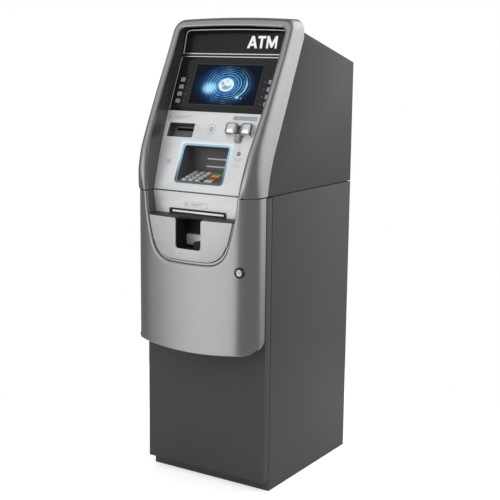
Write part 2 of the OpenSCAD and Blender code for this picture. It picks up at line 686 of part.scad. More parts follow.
// Keypad well, as [y, z] outlines
pad_front = panel_yz(pad_s0, 0);
pad_rear = pad_front + pad_depth_y*[1, tan(pad_slope)];
module pad_hollow()
    polygon([panel_yz(pad_s0, -3) + [0, -2], pad_front, pad_rear, pad_rear + [-6, 62],
             panel_yz(pad_s1, 0), panel_yz(pad_s1, -3)]);
module pad_outer()
    polygon([panel_yz(pad_s0 - 5, plate_t), pad_rear + [3, -4],
             pad_rear + [-3, 66], panel_yz(pad_s1 + 4, plate_t)]);
module on_keypad(x = 0, v = 0)
    translate([x, pad_front[0], pad_front[1]]) rotate([pad_slope, 0, 0]) translate([0, v, 0]) children();
key_cols = [-62, -39.5, -17, 20];
key_ws = [15, 15, 15, 27];
key_row0 = 13;
key_row_pitch = 18.5;
pin_key_d = 12;
module pin_key(col, row) {
    w = key_ws[col];
    face = col < 3 ? [0.82, 0.82, 0.80] : row == 0 ? [0.2, 0.6, 0.3] : row == 1 ? [0.9, 0.7, 0.2]
         : row == 2 ? [0.65, 0.25, 0.15] : [0.82, 0.82, 0.80];
    color(face) on_keypad(key_cols[col], key_row0 + (3 - row)*key_row_pitch) {
        translate([0, 0, -6]) linear_extrude(9.2) polygon(round_rect(w, pin_key_d, 1.5));
        box([-w/2 - 1, -pin_key_d/2 - 1, -6.5], [w/2 + 1, pin_key_d/2 + 1, -5]);
    }
}
module pin_pad_tray() {
    color([0.22, 0.22, 0.23]) difference() {
        slab_x(pad_x - pad_w/2 - 3, pad_x + pad_w/2 + 3) pad_outer();
        slab_x(pad_x - pad_w/2, pad_x + pad_w/2) pad_hollow();
        for (c = [0:3], r = [0:3]) on_keypad(key_cols[c], key_row0 + (3 - r)*key_row_pitch)
            translate([0, 0, -30]) linear_extrude(40)
                polygon(round_rect(key_ws[c] + 2*key_gap, pin_key_d + 2*key_gap, 1.8));
        on_keypad(0, 0) box([key_cols[0] - 12, 4, -30], [key_cols[3] + 18, 80, -4]);
    }
}
module led_rim() {
    color([0.6, 0.8, 0.9]) on_panel(pad_x, (pad_s0 + pad_s1)/2) slab_y(-2, 0) difference() {
        polygon(round_rect(pad_w + 12, pad_s1 - pad_s0 + 10, 11));
        polygon(round_rect(pad_w, pad_s1 - pad_s0, 8));
    }
}
module receipt_chute() {
    s_mid = (chute_s0 + chute_s1)/2;
    h = chute_s1 - chute_s0;
    color([0.18, 0.18, 0.19]) on_panel(chute_x, s_mid) difference() {
        box([-chute_w/2 - 2, plate_t, -h/2 - 2], [chute_w/2 + 2, 34, h/2 + 2]);
        intersection() {
            box([-chute_w/2, -1, -h/2], [chute_w/2, 40, h/2]);
            slab_x(-chute_w/2, chute_w/2) polygon(concat([[-2, h/2], [-2, -h/2], [6, -h/2]],
                arc(6, 20, 41, -90, -51, 6), [[32, h/2 - 13], [32, h/2]]));
        }
        box([-36, 20, h/2 - 12], [36, 40, h/2 - 4]);
    }
}
module card_reader_bezel() {
    color(steel) on_panel(reader_x, reader_s) {
        difference() {
            union() {
                box([-44, -3, -24], [44, 0, 27]);
                for (s = [-1, 1]) hull() {
                    translate([s*29, -2, 6]) rotate([90, 0, 0]) cylinder(h = 2, r = 15, $fn = 32);
                    translate([s*27, -16, 8]) sphere(r = 7, $fn = 24);
                    translate([s*31, -14, 0]) sphere(r = 7, $fn = 24);
                }
                hull() {
                    box([-10, -4, -31], [10, -2, 4]);
                    box([-7, -10, -26], [7, -8, 0]);
                }
            }
            box([-13, -30, 5], [13, 2, 9]);
        }
    }
}
module card_reader_module() {
    color([0.3, 0.32, 0.33]) on_panel(reader_x, reader_s) difference() {
        union() {
            box([-31.5, 0, -13], [31.5, 12, 13]);
            box([-35, 12, -18], [35, 95, 14]);
        }
        box([-28, -1, 5], [28, 88, 8]);
    }
}
roll_x = -110;
roll_y = -106;
roll_z = 972;
roll_r = 27;
module receipt_printer() {
    color([0.35, 0.36, 0.38]) difference() {
        union() {
            for (s = [-1, 1]) slab_x(roll_x + 44*s - 1.5, roll_x + 44*s + 1.5)
                polygon([panel_yz(200, 36), panel_yz(158, 36), [-172, 930], [-76, 930], [-76, 1014]]);
            on_panel(chute_x, (chute_s0 + chute_s1)/2) difference() {
                box([-44, 34, -21], [47, 37, 21]);
                box([-36, 33, 9], [36, 38, 17]);
            }
            box([roll_x - 44, -172, 930], [roll_x + 44, -76, 933]);
            rod_x(roll_x - 44, roll_x + 44, -158, 1002, 7);
        }
        rod_x(roll_x - 50, roll_x + 50, roll_y, roll_z, 3 + fit);
    }
}
module paper_roll() {
    color([0.92, 0.92, 0.90]) {
        rod_x(roll_x - 40, roll_x + 40, roll_y, roll_z, roll_r);
        rod_x(roll_x - 46, roll_x + 46, roll_y, roll_z, 3);
    }
}
module upper_frame() {
    color(steel) {
        on_panel() slab_y(plate_t, plate_t + 2) difference() {
            polygon(mirrored([[half_w - shell_t - 1.5, 3], [half_w - shell_t - 1.5, 75],
                              [half_w - shell_t, 80], [half_w - shell_t, 440], [150, 470]]));
            polygon([[-133, 16], [133, 16], [166, 130], [166, 446], [-166, 446], [-166, 130]]);
        }
        slab_y(crown_y - 4, crown_y - 2.4) polygon(mirrored(concat([[half_w - 3.3, 1277.5]],
            arc(half_w - crown_r, top_corner_z, crown_r - 3.3, 0, 90, 8), [[1, crown_z - 3.3]])));
        slab_x(-160, 160) polygon([panel_yz(460, plate_t), panel_yz(469, plate_t + 1),
                                   [crown_y - 4, 1282], [crown_y - 4, 1279]]);
        for (x = [-124.7, 99.7]) difference() {
            union() {
                rod_x(x, x + 25, crown_axis_y, crown_axis_z, crown_knuckle_r);
                box([x, crown_y - 3, crown_axis_z - 3], [x + 25, crown_axis_y, crown_axis_z + 3]);
            }
            rod_x(x - 1, x + 26, crown_axis_y, crown_axis_z, crown_pin_r + fit);
        }
    }
}

safe_body();
upper_housing();
rear_panel();
power_inlet();
hinge_pins();
computer_box();
dispenser_frame();
cash_cassette();
pick_rollers();
feed_rollers();
drive_belt();
safe_door();
door_bolts();
door_handle();
combination_dial();
lower_fascia();
lower_frame();
cash_slot_panel();
cash_shutter();
tray_panel();
cash_tray();
lock_housing();
lock_cylinder();
upper_fascia();
upper_frame();
header_panel();
display_bezel();
display_module();
control_panel();
card_reader_bezel();
card_reader_module();
pin_pad_tray();
led_rim();
receipt_chute();
receipt_printer();
paper_roll();
fkey(-1, 1);  // fkey_left_1
fkey(-1, 2);  // fkey_left_2
fkey(-1, 3);  // fkey_left_3
fkey(-1, 4);  // fkey_left_4
fkey(1, 1);  // fkey_right_1
fkey(1, 2);  // fkey_right_2
fkey(1, 3);  // fkey_right_3
fkey(1, 4);  // fkey_right_4
pin_key(0, 0);  // pin_key_1
pin_key(1, 0);  // pin_key_2
pin_key(2, 0);  // pin_key_3
pin_key(3, 0);  // pin_key_cancel
pin_key(0, 1);  // pin_key_4
pin_key(1, 1);  // pin_key_5
pin_key(2, 1);  // pin_key_6
pin_key(3, 1);  // pin_key_clear
pin_key(0, 2);  // pin_key_7
pin_key(1, 2);  // pin_key_8
pin_key(2, 2);  // pin_key_9
pin_key(3, 2);  // pin_key_enter
pin_key(0, 3);  // pin_key_left
pin_key(1, 3);  // pin_key_0
pin_key(2, 3);  // pin_key_right
pin_key(3, 3);  // pin_key_blank
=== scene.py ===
"""Looks for a free-standing cash machine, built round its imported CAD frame.

Shapes are worked out in millimetres, like the part's own drawing, and scaled to metres in the meshes.
"""

import json
import math

import bmesh
import bpy
from mathutils import Matrix, Vector


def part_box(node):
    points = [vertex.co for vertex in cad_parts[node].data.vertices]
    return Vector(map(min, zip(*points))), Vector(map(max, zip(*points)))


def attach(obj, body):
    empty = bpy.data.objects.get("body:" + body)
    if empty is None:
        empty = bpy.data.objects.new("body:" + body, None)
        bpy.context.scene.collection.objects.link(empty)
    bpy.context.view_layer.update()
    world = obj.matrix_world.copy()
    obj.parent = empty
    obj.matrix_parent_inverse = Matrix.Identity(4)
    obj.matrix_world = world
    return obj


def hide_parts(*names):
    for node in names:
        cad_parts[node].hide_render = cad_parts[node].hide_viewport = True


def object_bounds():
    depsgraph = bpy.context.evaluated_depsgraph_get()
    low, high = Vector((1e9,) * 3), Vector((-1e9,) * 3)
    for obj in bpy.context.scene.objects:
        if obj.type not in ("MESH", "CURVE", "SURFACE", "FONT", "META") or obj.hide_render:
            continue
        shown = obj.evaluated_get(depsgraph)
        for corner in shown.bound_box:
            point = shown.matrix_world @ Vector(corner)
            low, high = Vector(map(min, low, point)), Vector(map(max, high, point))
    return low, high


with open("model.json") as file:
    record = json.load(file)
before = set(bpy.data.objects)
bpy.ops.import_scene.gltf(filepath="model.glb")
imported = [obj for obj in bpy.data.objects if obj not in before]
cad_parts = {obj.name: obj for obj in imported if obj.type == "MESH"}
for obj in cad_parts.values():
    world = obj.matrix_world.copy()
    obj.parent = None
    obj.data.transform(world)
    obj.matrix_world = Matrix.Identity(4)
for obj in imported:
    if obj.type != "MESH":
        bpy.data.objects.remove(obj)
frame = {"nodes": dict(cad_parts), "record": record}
cad_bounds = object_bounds()
MM = 0.001
NODES = frame["nodes"]
BODY_OF = {n: b for b, names in frame["record"]["behaviour"]["bodies"].items() for n in names}
SLOT_OF = {s["node"]: s["material_slot"] for s in frame["record"]["subparts"]}


def low(node, axis):
    """A CAD node's lowest x, y or z, in millimetres."""
    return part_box(node)[0][axis] / MM


def high(node, axis):
    """A CAD node's highest x, y or z, in millimetres."""
    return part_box(node)[1][axis] / MM


# ---- driving sizes, in millimetres
# N is a reach in front of the joint plane, S a distance up the sloping panel, R a radius and Z a height.
HALF_W = high("safe_body", 0)
SEAM_Z = (high("lower_fascia", 2) + low("upper_fascia", 2)) / 2
SEAM_GAP = low("upper_fascia", 2) - SEAM_Z
SKIRT_Z = low("lower_fascia", 2)
CROWN_Z = high("upper_fascia", 2)
SLOT_FACE_N = 38
FRONT_Y = low("cash_slot_panel", 1) + SLOT_FACE_N
BOW_N = FRONT_Y - low("lower_fascia", 1)
CORNER_N = BOW_N - 12
SHOULDER_N = 66
FLANGE_N = 19
FLANGE_GAP = 4
LOWER_HINGE_ZS = (480, 770)
LIP_X = 150
LEAN_Z = 785
LEAN_R = 408
LEAN = math.radians(25.4)
PANEL_LEAN = math.radians(24.5)
PANEL_Y = FRONT_Y - 37.5
PAD_SLOPE = math.radians(15)
BEND_Z = LEAN_Z + LEAN_R * math.sin(LEAN)
BEND_Y = FRONT_Y + LEAN_R * (1 - math.cos(LEAN))
CROWN_Y = -72.5
CROWN_R = 28
CROWN_DROP = 4.5
TOP_CORNER_Z = CROWN_Z - CROWN_DROP - CROWN_R
LIP_TOP_W = 175
LIP_TOP_Z = 1286
LIP_ARCH = 4
LIP_CORNER_R = 16
LIP_LEG = LIP_TOP_Z - LIP_CORNER_R - SEAM_Z
NOTCH_DEPTH = 137
NOTCH_TAPER = 26
NOTCH_BEND_Z = SEAM_Z - NOTCH_DEPTH
NOTCH_FLOOR_Z = 651
SKIRT_R = 26
SKIRT_BOW = 9.5
SIGN_LEAN = math.radians(14.5)
SIGN_S, SIGN_H, SIGN_HALF_W = 405, 78, 171
SHELL_T = 2.6
LEG_TOP_Z = 1250
PAD_X, PAD_S, PAD_W, PAD_H = -8.5, 83, 150, 106


# ---- the machine's own curves
def lean_at(z):
    """The side joint line's lean at height z: upright, then round an arc, then straight."""
    if z < LEAN_Z:
        return 0
    return math.asin((z - LEAN_Z) / LEAN_R) if z < BEND_Z else LEAN


def profile_y(z):
    """The side joint line's depth at height z."""
    if z < BEND_Z:
        return FRONT_Y + LEAN_R * (1 - math.cos(lean_at(z)))
    return BEND_Y + (z - BEND_Z) * math.tan(LEAN)


def ahead_y(z, n):
    """A point n in front of the joint line, measured square to it."""
    return profile_y(z) - n / math.cos(lean_at(z))


def panel_y(z):
    """The flat control panel's depth at height z."""
    return PANEL_Y + (z - SEAM_Z) * math.tan(PANEL_LEAN)


def bezier(a, b, c, steps):
    """Points along a quadratic curve, ends included."""
    points = []
    for i in range(steps + 1):
        t = i / steps
        points.append(tuple((1 - t) ** 2 * p + 2 * t * (1 - t) * q + t * t * r for p, q, r in zip(a, b, c)))
    return points


def round_rect(w, h, r, steps=6):
    """Outline of a rounded rectangle about the origin, anticlockwise."""
    points = []
    over, up = w / 2 - r, h / 2 - r
    for k, (cx, cy) in enumerate([(over, up), (-over, up), (-over, -up), (over, -up)]):
        for i in range(steps + 1):
            a = math.pi / 2 * (k + i / steps)
            points.append((cx + r * math.cos(a), cy + r * math.sin(a)))
    return points


def circle(r, height, steps):
    turns = [2 * math.pi * i / steps for i in range(steps)]
    return [(r * math.cos(a), r * math.sin(a), height) for a in turns]


def upper_lip_w(z):
    """Half the opening's width in the upper fascia."""
    return LIP_TOP_W - (LIP_TOP_W - LIP_X) * (max(0, LIP_LEG + SEAM_Z - z) / LIP_LEG) ** 3


def lower_lip_w(z):
    """Half the opening's width in the lower fascia, above its bend."""
    return LIP_X - NOTCH_TAPER * (max(0, SEAM_Z - z) / NOTCH_DEPTH) ** 1.6


def notch_edge(inset=0, rise=0, top_z=None, steps=24):
    """Right half of the U-shaped opening's edge, from the top down to the middle."""
    top_z = SEAM_Z - SEAM_GAP if top_z is None else top_z
    edge = []
    for i in range(steps):
        z = top_z + (NOTCH_BEND_Z - top_z) * i / steps
        edge.append((lower_lip_w(z) - inset, z))
    flat_w = 60
    bend_from, bend_to = (LIP_X - NOTCH_TAPER, NOTCH_BEND_Z), (flat_w, NOTCH_FLOOR_Z + 1)
    bend = bezier(bend_from, (110, NOTCH_FLOOR_Z + 4), bend_to, steps)
    edge += [(x - inset, z + rise) for x, z in bend]
    edge += [(flat_w - flat_w * i / 8, NOTCH_FLOOR_Z + rise + 1 - i / 8) for i in range(1, 9)]
    return edge


def skirt_edge(x):
    """The lower fascia's bottom edge, bowed down in the middle."""
    return SKIRT_Z + SKIRT_BOW * (x / LIP_X) ** 2


def fascia_n(x):
    """The lower fascia's reach in front of the joint plane at x."""
    x = min(abs(x), HALF_W)
    if x <= LIP_X:
        return BOW_N - (BOW_N - CORNER_N) * (x / LIP_X) ** 2
    t = math.sqrt((HALF_W - x) / (HALF_W - LIP_X))
    return (1 - t) ** 2 * FLANGE_N + 2 * t * (1 - t) * SHOULDER_N + t * t * CORNER_N


def skin_n(x):
    """The lower fascia's reach with its shoulder crease eased, as the moulding has it."""
    ease = min(18, HALF_W - abs(x))
    return sum(fascia_n(abs(x) + ease * k / 5) for k in range(-5, 6)) / 11


# ---- node helpers
def node(tree, kind, *values, out=0, **settings):
    """Adds a shader node. A value is a number, a colour or another node's output; None keeps the default."""
    n = tree.nodes.new(kind)
    for key, value in settings.items():
        setattr(n, key, value)
    for i, value in enumerate(values):
        if isinstance(value, bpy.types.NodeSocket):
            tree.links.new(value, n.inputs[i])
        elif value is not None:
            n.inputs[i].default_value = value
    return n.outputs[out]


def maths(tree, operation, *values):
    return node(tree, "ShaderNodeMath", *values, operation=operation)


def blend_colour(tree, factor, a, b):
    n = tree.nodes.new("ShaderNodeMix")
    n.data_type = "RGBA"
    for socket, value in ((n.inputs[0], factor), (n.inputs[6], a), (n.inputs[7], b)):
        if isinstance(value, bpy.types.NodeSocket):
            tree.links.new(value, socket)
        else:
            socket.default_value = value
    return n.outputs[2]


def ramp(tree, value, lo, hi, to_lo=0.0, to_hi=1.0):
    """A smooth step from to_lo to to_hi as value goes from lo to hi."""
    return node(tree, "ShaderNodeMapRange", value, lo, hi, to_lo, to_hi, interpolation_type="SMOOTHSTEP")


def noise(tree, where, scale, detail=3.0, rough=0.5, stretch=None):
    if stretch:
        where = node(tree, "ShaderNodeVectorMath", where, stretch, operation="MULTIPLY")
    n = tree.nodes.new("ShaderNodeTexNoise")
    tree.links.new(where, n.inputs["Vector"])
    n.inputs["Scale"].default_value = scale
    n.inputs["Detail"].default_value = detail
    n.inputs["Roughness"].default_value = rough
    return n.outputs["Fac"]


def grey(v, tint=(1, 1, 1)):
    return (v * tint[0], v * tint[1], v * tint[2], 1)


MATERIALS = {}
FLECK_SCALE = 2600


def new_material(name):
    """An empty finish: its node tree, its shader and the object's own coordinates."""
    mat = bpy.data.materials.new(name)
    mat.use_nodes = True
    t = mat.node_tree
    MATERIALS[name] = mat
    return t, t.nodes["Principled BSDF"], node(t, "ShaderNodeTexCoord", out=3)


def surface(name, light, dark, tint=(1, 1, 1), metallic=0.0, rough=(0.4, 0.5), grain=1500, bump=0.00001,
            cloud=6.0, specular=0.5, fleck=0.0, brushed=None):
    """A painted, moulded or machined finish: mottled colour, uneven roughness, grain and optional flecks."""
    t, shader, where = new_material(name)
    mottle = noise(t, where, cloud, 4.0, 0.55)
    fine = noise(t, where, grain, 2.0, 0.6, brushed)
    mix = maths(t, "MULTIPLY_ADD", fine, 0.45, maths(t, "MULTIPLY", mottle, 0.55))
    colour = blend_colour(t, ramp(t, mix, 0.34, 0.66), grey(dark, tint), grey(light, tint))
    if fleck:
        cells = node(t, "ShaderNodeTexVoronoi", where, None, FLECK_SCALE, out=1)
        sparkle = ramp(t, node(t, "ShaderNodeSeparateColor", cells, out=0), 0.55, 1.0)
        bright = grey(min(1.0, light * tint[0] * 1.9))
        colour = blend_colour(t, maths(t, "MULTIPLY", sparkle, fleck), colour, bright)
    t.links.new(colour, shader.inputs["Base Color"])
    t.links.new(ramp(t, mix, 0.3, 0.7, rough[0], rough[1]), shader.inputs["Roughness"])
    height = node(t, "ShaderNodeBump", 1.0, bump)
    t.links.new(fine, height.node.inputs["Height"])
    t.links.new(height, shader.inputs["Normal"])
    shader.inputs["Metallic"].default_value = metallic
    shader.inputs["Specular IOR Level"].default_value = specular


def glowing(name, tint, strength, build=None):
    """A lit surface behind clear plastic; build(tree, where) may return its own colour."""
    t, shader, where = new_material(name)
    cloudy = noise(t, where, 160.0)
    colour = build(t, where) if build else blend_colour(t, cloudy, grey(0.8, tint), grey(1.0, tint))
    t.links.new(colour, shader.inputs["Emission Color"])
    shader.inputs["Emission Strength"].default_value = strength
    t.links.new(blend_colour(t, cloudy, grey(0.004, tint), grey(0.007, tint)), shader.inputs["Base Color"])
    t.links.new(ramp(t, cloudy, 0.3, 0.7, 0.2, 0.28), shader.inputs["Roughness"])
    shader.inputs["Specular IOR Level"].default_value = 0.08


COOL = (0.985, 1.0, 1.015)
WARM = (1, 0.99, 0.95)
surface("graphite_paint", 0.088, 0.079, rough=(0.5, 0.62), grain=1100, bump=0.0001, cloud=3.5, specular=0.45)
surface("door_paint", 0.068, 0.058, rough=(0.5, 0.62), grain=1100, bump=0.0001, cloud=3.5, specular=0.4)
surface("silver_plastic", 0.37, 0.355, COOL, metallic=0.92, rough=(0.25, 0.27), bump=0.000012, cloud=30.0,
        fleck=0.3)
surface("tray_silver", 0.64, 0.60, COOL, metallic=0.35, rough=(0.36, 0.42), grain=1600, bump=0.00003,
        cloud=30.0, fleck=0.22)
for name in ("silver_panel", "glow_panel"):
    surface(name, 0.88, 0.84, COOL, metallic=0.25, rough=(0.38, 0.46), grain=1600, bump=0.00003, fleck=0.22)
surface("black_gloss", 0.016, 0.012, rough=(0.16, 0.22), grain=500, bump=0.000004, specular=0.3)
surface("recess_shade", 0.17, 0.13, metallic=0.5, rough=(0.34, 0.42), bump=0.00002)
surface("chute_silver", 0.26, 0.2, metallic=0.5, rough=(0.25, 0.32), bump=0.00002)
# Painted shade: a darker copy of the black plastic for the inside of the cash pocket.
surface("pocket_painted_shade", 0.02, 0.012, rough=(0.5, 0.6), grain=1400, bump=0.0001, specular=0.25)
surface("black_plastic", 0.045, 0.032, rough=(0.42, 0.55), grain=1400, bump=0.00012)
surface("well_plastic", 0.115, 0.09, rough=(0.38, 0.5), grain=1400, bump=0.00008)
surface("steel", 0.66, 0.56, metallic=1.0, rough=(0.24, 0.34), grain=700, bump=0.00002,
        brushed=(1.0, 12.0, 1.0))
surface("zinc_sheet", 0.60, 0.46, WARM, metallic=0.9, rough=(0.34, 0.5), grain=420, bump=0.00002, cloud=40.0)
surface("zinc_cast", 0.5, 0.42, metallic=1.0, rough=(0.36, 0.46), grain=900, bump=0.00005)
surface("cassette_plastic", 0.11, 0.08, (0.85, 0.95, 1.1), rough=(0.42, 0.55), grain=1100, bump=0.0001)
surface("rubber", 0.035, 0.022, rough=(0.7, 0.85), grain=1600, bump=0.0001)
surface("chrome_plastic", 0.78, 0.70, metallic=1.0, rough=(0.05, 0.09), grain=500, bump=0.000006)
surface("paper", 0.82, 0.74, (1, 1, 0.96), rough=(0.8, 0.9), grain=1800, bump=0.00003)
surface("key_silver", 0.42, 0.36, metallic=0.45, rough=(0.34, 0.42), bump=0.00002)
surface("key_light", 0.78, 0.70, metallic=0.35, rough=(0.3, 0.4), bump=0.00002)
for hue, light, dark, tint in (("green", 0.3, 0.24, (0.25, 1.0, 0.45)),
                               ("yellow", 0.8, 0.7, (1.0, 0.62, 0.10)),
                               ("red", 0.5, 0.42, (1.0, 0.22, 0.06))):
    surface("key_" + hue, light, dark, tint, rough=(0.3, 0.4), bump=0.00004)
surface("ink", 0.05, 0.03, rough=(0.5, 0.6))
surface("faint_ink", 0.27, 0.22, rough=(0.5, 0.6))
surface("trim_silver", 0.74, 0.64, metallic=0.9, rough=(0.22, 0.3), grain=900)
surface("label_blue", 0.58, 0.52, (0.88, 0.98, 1.06), metallic=0.2, rough=(0.4, 0.5))


def screen_picture(t, where):
    """An abstract of rippled rings round a bright disc, with a soft flare and a few sparks."""
    flat = node(t, "ShaderNodeVectorMath", where, (1 / MM, 1 / MM, 0.0), operation="MULTIPLY")
    wobble = node(t, "ShaderNodeTexNoise", flat, None, 0.03, 2.0, out=1)
    shift = node(t, "ShaderNodeVectorMath", wobble, (9.0, 9.0, 0.0), operation="MULTIPLY")
    warped = node(t, "ShaderNodeVectorMath", flat, shift, operation="ADD")

    def reach(source, x, y, sx, sy):
        moved = node(t, "ShaderNodeVectorMath", source, (-x, -y, 0.0), operation="ADD")
        scaled = node(t, "ShaderNodeVectorMath", moved, (1 / sx, 1 / sy, 0.0), operation="MULTIPLY")
        length = t.nodes.new("ShaderNodeVectorMath")
        length.operation = "LENGTH"
        t.links.new(scaled, length.inputs[0])
        return length.outputs["Value"]

    far = reach(warped, 8, 6, 1.4, 1.0)
    from_disc = reach(flat, 2, 1, 26, 20)
    disc = ramp(t, from_disc, 0.92, 1.02, 1.0, 0.0)
    ripple = maths(t, "SINE", maths(t, "MULTIPLY", far, 0.95))
    rings = maths(t, "POWER", maths(t, "MAXIMUM", ripple, 0.0), 3.0)
    rings = maths(t, "MULTIPLY", rings, ramp(t, far, 66, 34, 0.0, 0.6))
    patchy = noise(t, flat, 0.035, 2.0)
    rings = maths(t, "MULTIPLY", rings, ramp(t, patchy, 0.35, 0.6, 0.25, 1.3))
    flare = ramp(t, reach(flat, -50, -10, 34, 24), 1.0, 0.15, 0.0, 1.1)
    flare = maths(t, "MULTIPLY", flare, ramp(t, noise(t, flat, 0.07, 3.0), 0.2, 0.6, 0.55, 1.0))
    sweep = ramp(t, maths(t, "ABSOLUTE", maths(t, "SUBTRACT", far, 47.0)), 3.0, 0.0, 0.0, 0.9)
    sweep = maths(t, "MULTIPLY", sweep, ramp(t, reach(flat, 58, -8, 34, 36), 1.0, 0.4, 0.0, 1.0))
    sparks = maths(t, "ADD", ramp(t, reach(flat, 47, -35, 8, 6), 1.0, 0.2, 0.0, 1.2),
                   ramp(t, reach(flat, 60, -38, 4, 3), 1.0, 0.2, 0.0, 0.7))
    light = maths(t, "ADD", maths(t, "ADD", rings, flare), maths(t, "ADD", sweep, sparks))
    glow = ramp(t, reach(flat, -4, 0, 112, 66), 1.0, 0.1, 0.0, 1.0)
    colour = blend_colour(t, glow, (0.0, 0.003, 0.012, 1), (0.003, 0.10, 0.34, 1))
    colour = blend_colour(t, maths(t, "MINIMUM", light, 1.0), colour, (0.36, 0.74, 1.0, 1))
    bands = ramp(t, noise(t, flat, 0.05, 1.0), 0.42, 0.6)
    face = blend_colour(t, bands, (0.75, 0.9, 1.0, 1), (0.24, 0.38, 0.46, 1))
    core = ramp(t, from_disc, 0.6, 0.84)
    face = blend_colour(t, core, face, (0.72, 0.93, 1.0, 1))
    return blend_colour(t, disc, colour, face)


glowing("screen", (0.5, 0.7, 1.0), 1.0, screen_picture)
glowing("white_light", (1.0, 1.0, 1.0), 1.0)
glowing("soft_light", (1.0, 1.0, 0.96), 0.42)


def rim_colour(t, where):
    """The keypad light: strongest along the top edge and gone at the bottom."""
    split = t.nodes.new("ShaderNodeSeparateXYZ")
    t.links.new(where, split.inputs[0])
    strength = ramp(t, split.outputs[1], -0.05, 0.03, 0.0, 1.0)
    near = blend_colour(t, noise(t, where, 90.0), (0.42, 0.68, 0.84, 1), (0.50, 0.76, 0.90, 1))
    return blend_colour(t, strength, (0.14, 0.18, 0.20, 1), near)


glowing("led_diffuser", (0.55, 0.8, 1.0), 0.75, rim_colour)


def add_keypad_glow(mat, centre_x, centre_s, half_w, half_h, reach):
    """The keypad light spilling on to the panel: strongest at the rim's top, gone a few millimetres out."""
    t = mat.node_tree
    split = t.nodes.new("ShaderNodeSeparateXYZ")
    t.links.new(node(t, "ShaderNodeTexCoord", out=3), split.inputs[0])
    rise = math.cos(PANEL_LEAN)
    up = maths(t, "MULTIPLY_ADD", split.outputs[2], 1 / MM / rise, -SEAM_Z / rise)
    over = maths(t, "MULTIPLY_ADD", split.outputs[0], 1 / MM, -centre_x)
    dx = maths(t, "SUBTRACT", maths(t, "ABSOLUTE", over), half_w)
    ds = maths(t, "SUBTRACT", maths(t, "ABSOLUTE", maths(t, "SUBTRACT", up, centre_s)), half_h)
    spread = ramp(t, maths(t, "MAXIMUM", dx, ds), 0.0, reach, 1.0, 0.0)
    glow = maths(t, "MULTIPLY", spread, ramp(t, up, centre_s - half_h, centre_s + half_h, 0.1, 1.0))
    shader = t.nodes["Principled BSDF"]
    shader.inputs["Emission Color"].default_value = (0.30, 0.62, 0.85, 1)
    t.links.new(maths(t, "MULTIPLY", glow, 0.32), shader.inputs["Emission Strength"])


add_keypad_glow(MATERIALS["glow_panel"], PAD_X, PAD_S, PAD_W / 2 + 6, PAD_H / 2 + 5, 12)


# ---- mesh helpers
def face_frame(x, y, z, up_y, up_z):
    """A frame on a face: local X across, local Y up the face, local Z straight out of it. Millimetres."""
    up = Vector((0, up_y, up_z)).normalized()
    out = Vector((1, 0, 0)).cross(up)
    m = Matrix((Vector((1, 0, 0)), up, out)).transposed().to_4x4()
    m.translation = Vector((x, y, z)) * MM
    return m


def on_panel(x, s, out=0.0):
    """A place on the upper fascia's flat panel, s up its slope and out in front of it."""
    up_y, up_z = math.sin(PANEL_LEAN), math.cos(PANEL_LEAN)
    return face_frame(x, PANEL_Y + s * up_y - out * up_z, SEAM_Z + s * up_z + out * up_y, up_y, up_z)


PAD_FRONT = (PANEL_Y + 30 * math.sin(PANEL_LEAN), SEAM_Z + 30 * math.cos(PANEL_LEAN))


def on_keypad(x, v, out=0.0):
    c, s = math.cos(PAD_SLOPE), math.sin(PAD_SLOPE)
    return face_frame(x, PAD_FRONT[0] + v * c - out * s, PAD_FRONT[1] + v * s + out * c, c, s)


def on_sign(x, h, out=0.0):
    """A place on the lit sign, h up its face."""
    up_y, up_z = math.sin(SIGN_LEAN), math.cos(SIGN_LEAN)
    foot_y, foot_z = PANEL_Y + SIGN_S * math.sin(PANEL_LEAN), SEAM_Z + SIGN_S * math.cos(PANEL_LEAN)
    return face_frame(x, foot_y + h * up_y - out * up_z, foot_z + h * up_z + out * up_y, up_y, up_z)


def on_front(x, z, n):
    """A place on an upright face n in front of the joint plane."""
    return face_frame(x, FRONT_Y - n, z, 0, 1)


def smooth_shade(mesh, sharp_from):
    mesh.shade_smooth()
    mesh.set_sharp_from_angle(angle=math.radians(sharp_from))


def new_piece(name, mesh, material, body, stands_for=(), matrix=None, smooth=35):
    obj = bpy.data.objects.new(name, mesh)
    bpy.context.scene.collection.objects.link(obj)
    if matrix is not None:
        obj.matrix_world = matrix
    mesh.materials.clear()
    mesh.materials.append(MATERIALS[material])
    if smooth:
        smooth_shade(mesh, smooth)
    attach(obj, body)
    if stands_for:
        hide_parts(*stands_for)
    return obj


def bake_modifiers(obj, *modifiers):
    """Adds modifiers, given as (type, settings), and applies them all to the mesh."""
    for kind, settings in modifiers:
        m = obj.modifiers.new(kind.lower(), kind)
        for key, value in settings.items():
            setattr(m, key, value)
    bpy.context.view_layer.update()
    fresh = bpy.data.meshes.new_from_object(obj.evaluated_get(bpy.context.evaluated_depsgraph_get()))
    old = obj.data
    obj.modifiers.clear()
    obj.data = fresh
    bpy.data.meshes.remove(old)


def thickened(thickness, **settings):
    """A skin's thickness, added on its inner side, in millimetres."""
    return "SOLIDIFY", {"thickness": thickness * MM, "offset": -1, **settings}


def soft_edges(width, segments=3, limit=40):
    """A bevel on every edge sharper than limit degrees, width in millimetres."""
    return "BEVEL", {"width": width * MM, "segments": segments, "limit_method": "ANGLE",
                     "angle_limit": math.radians(limit)}


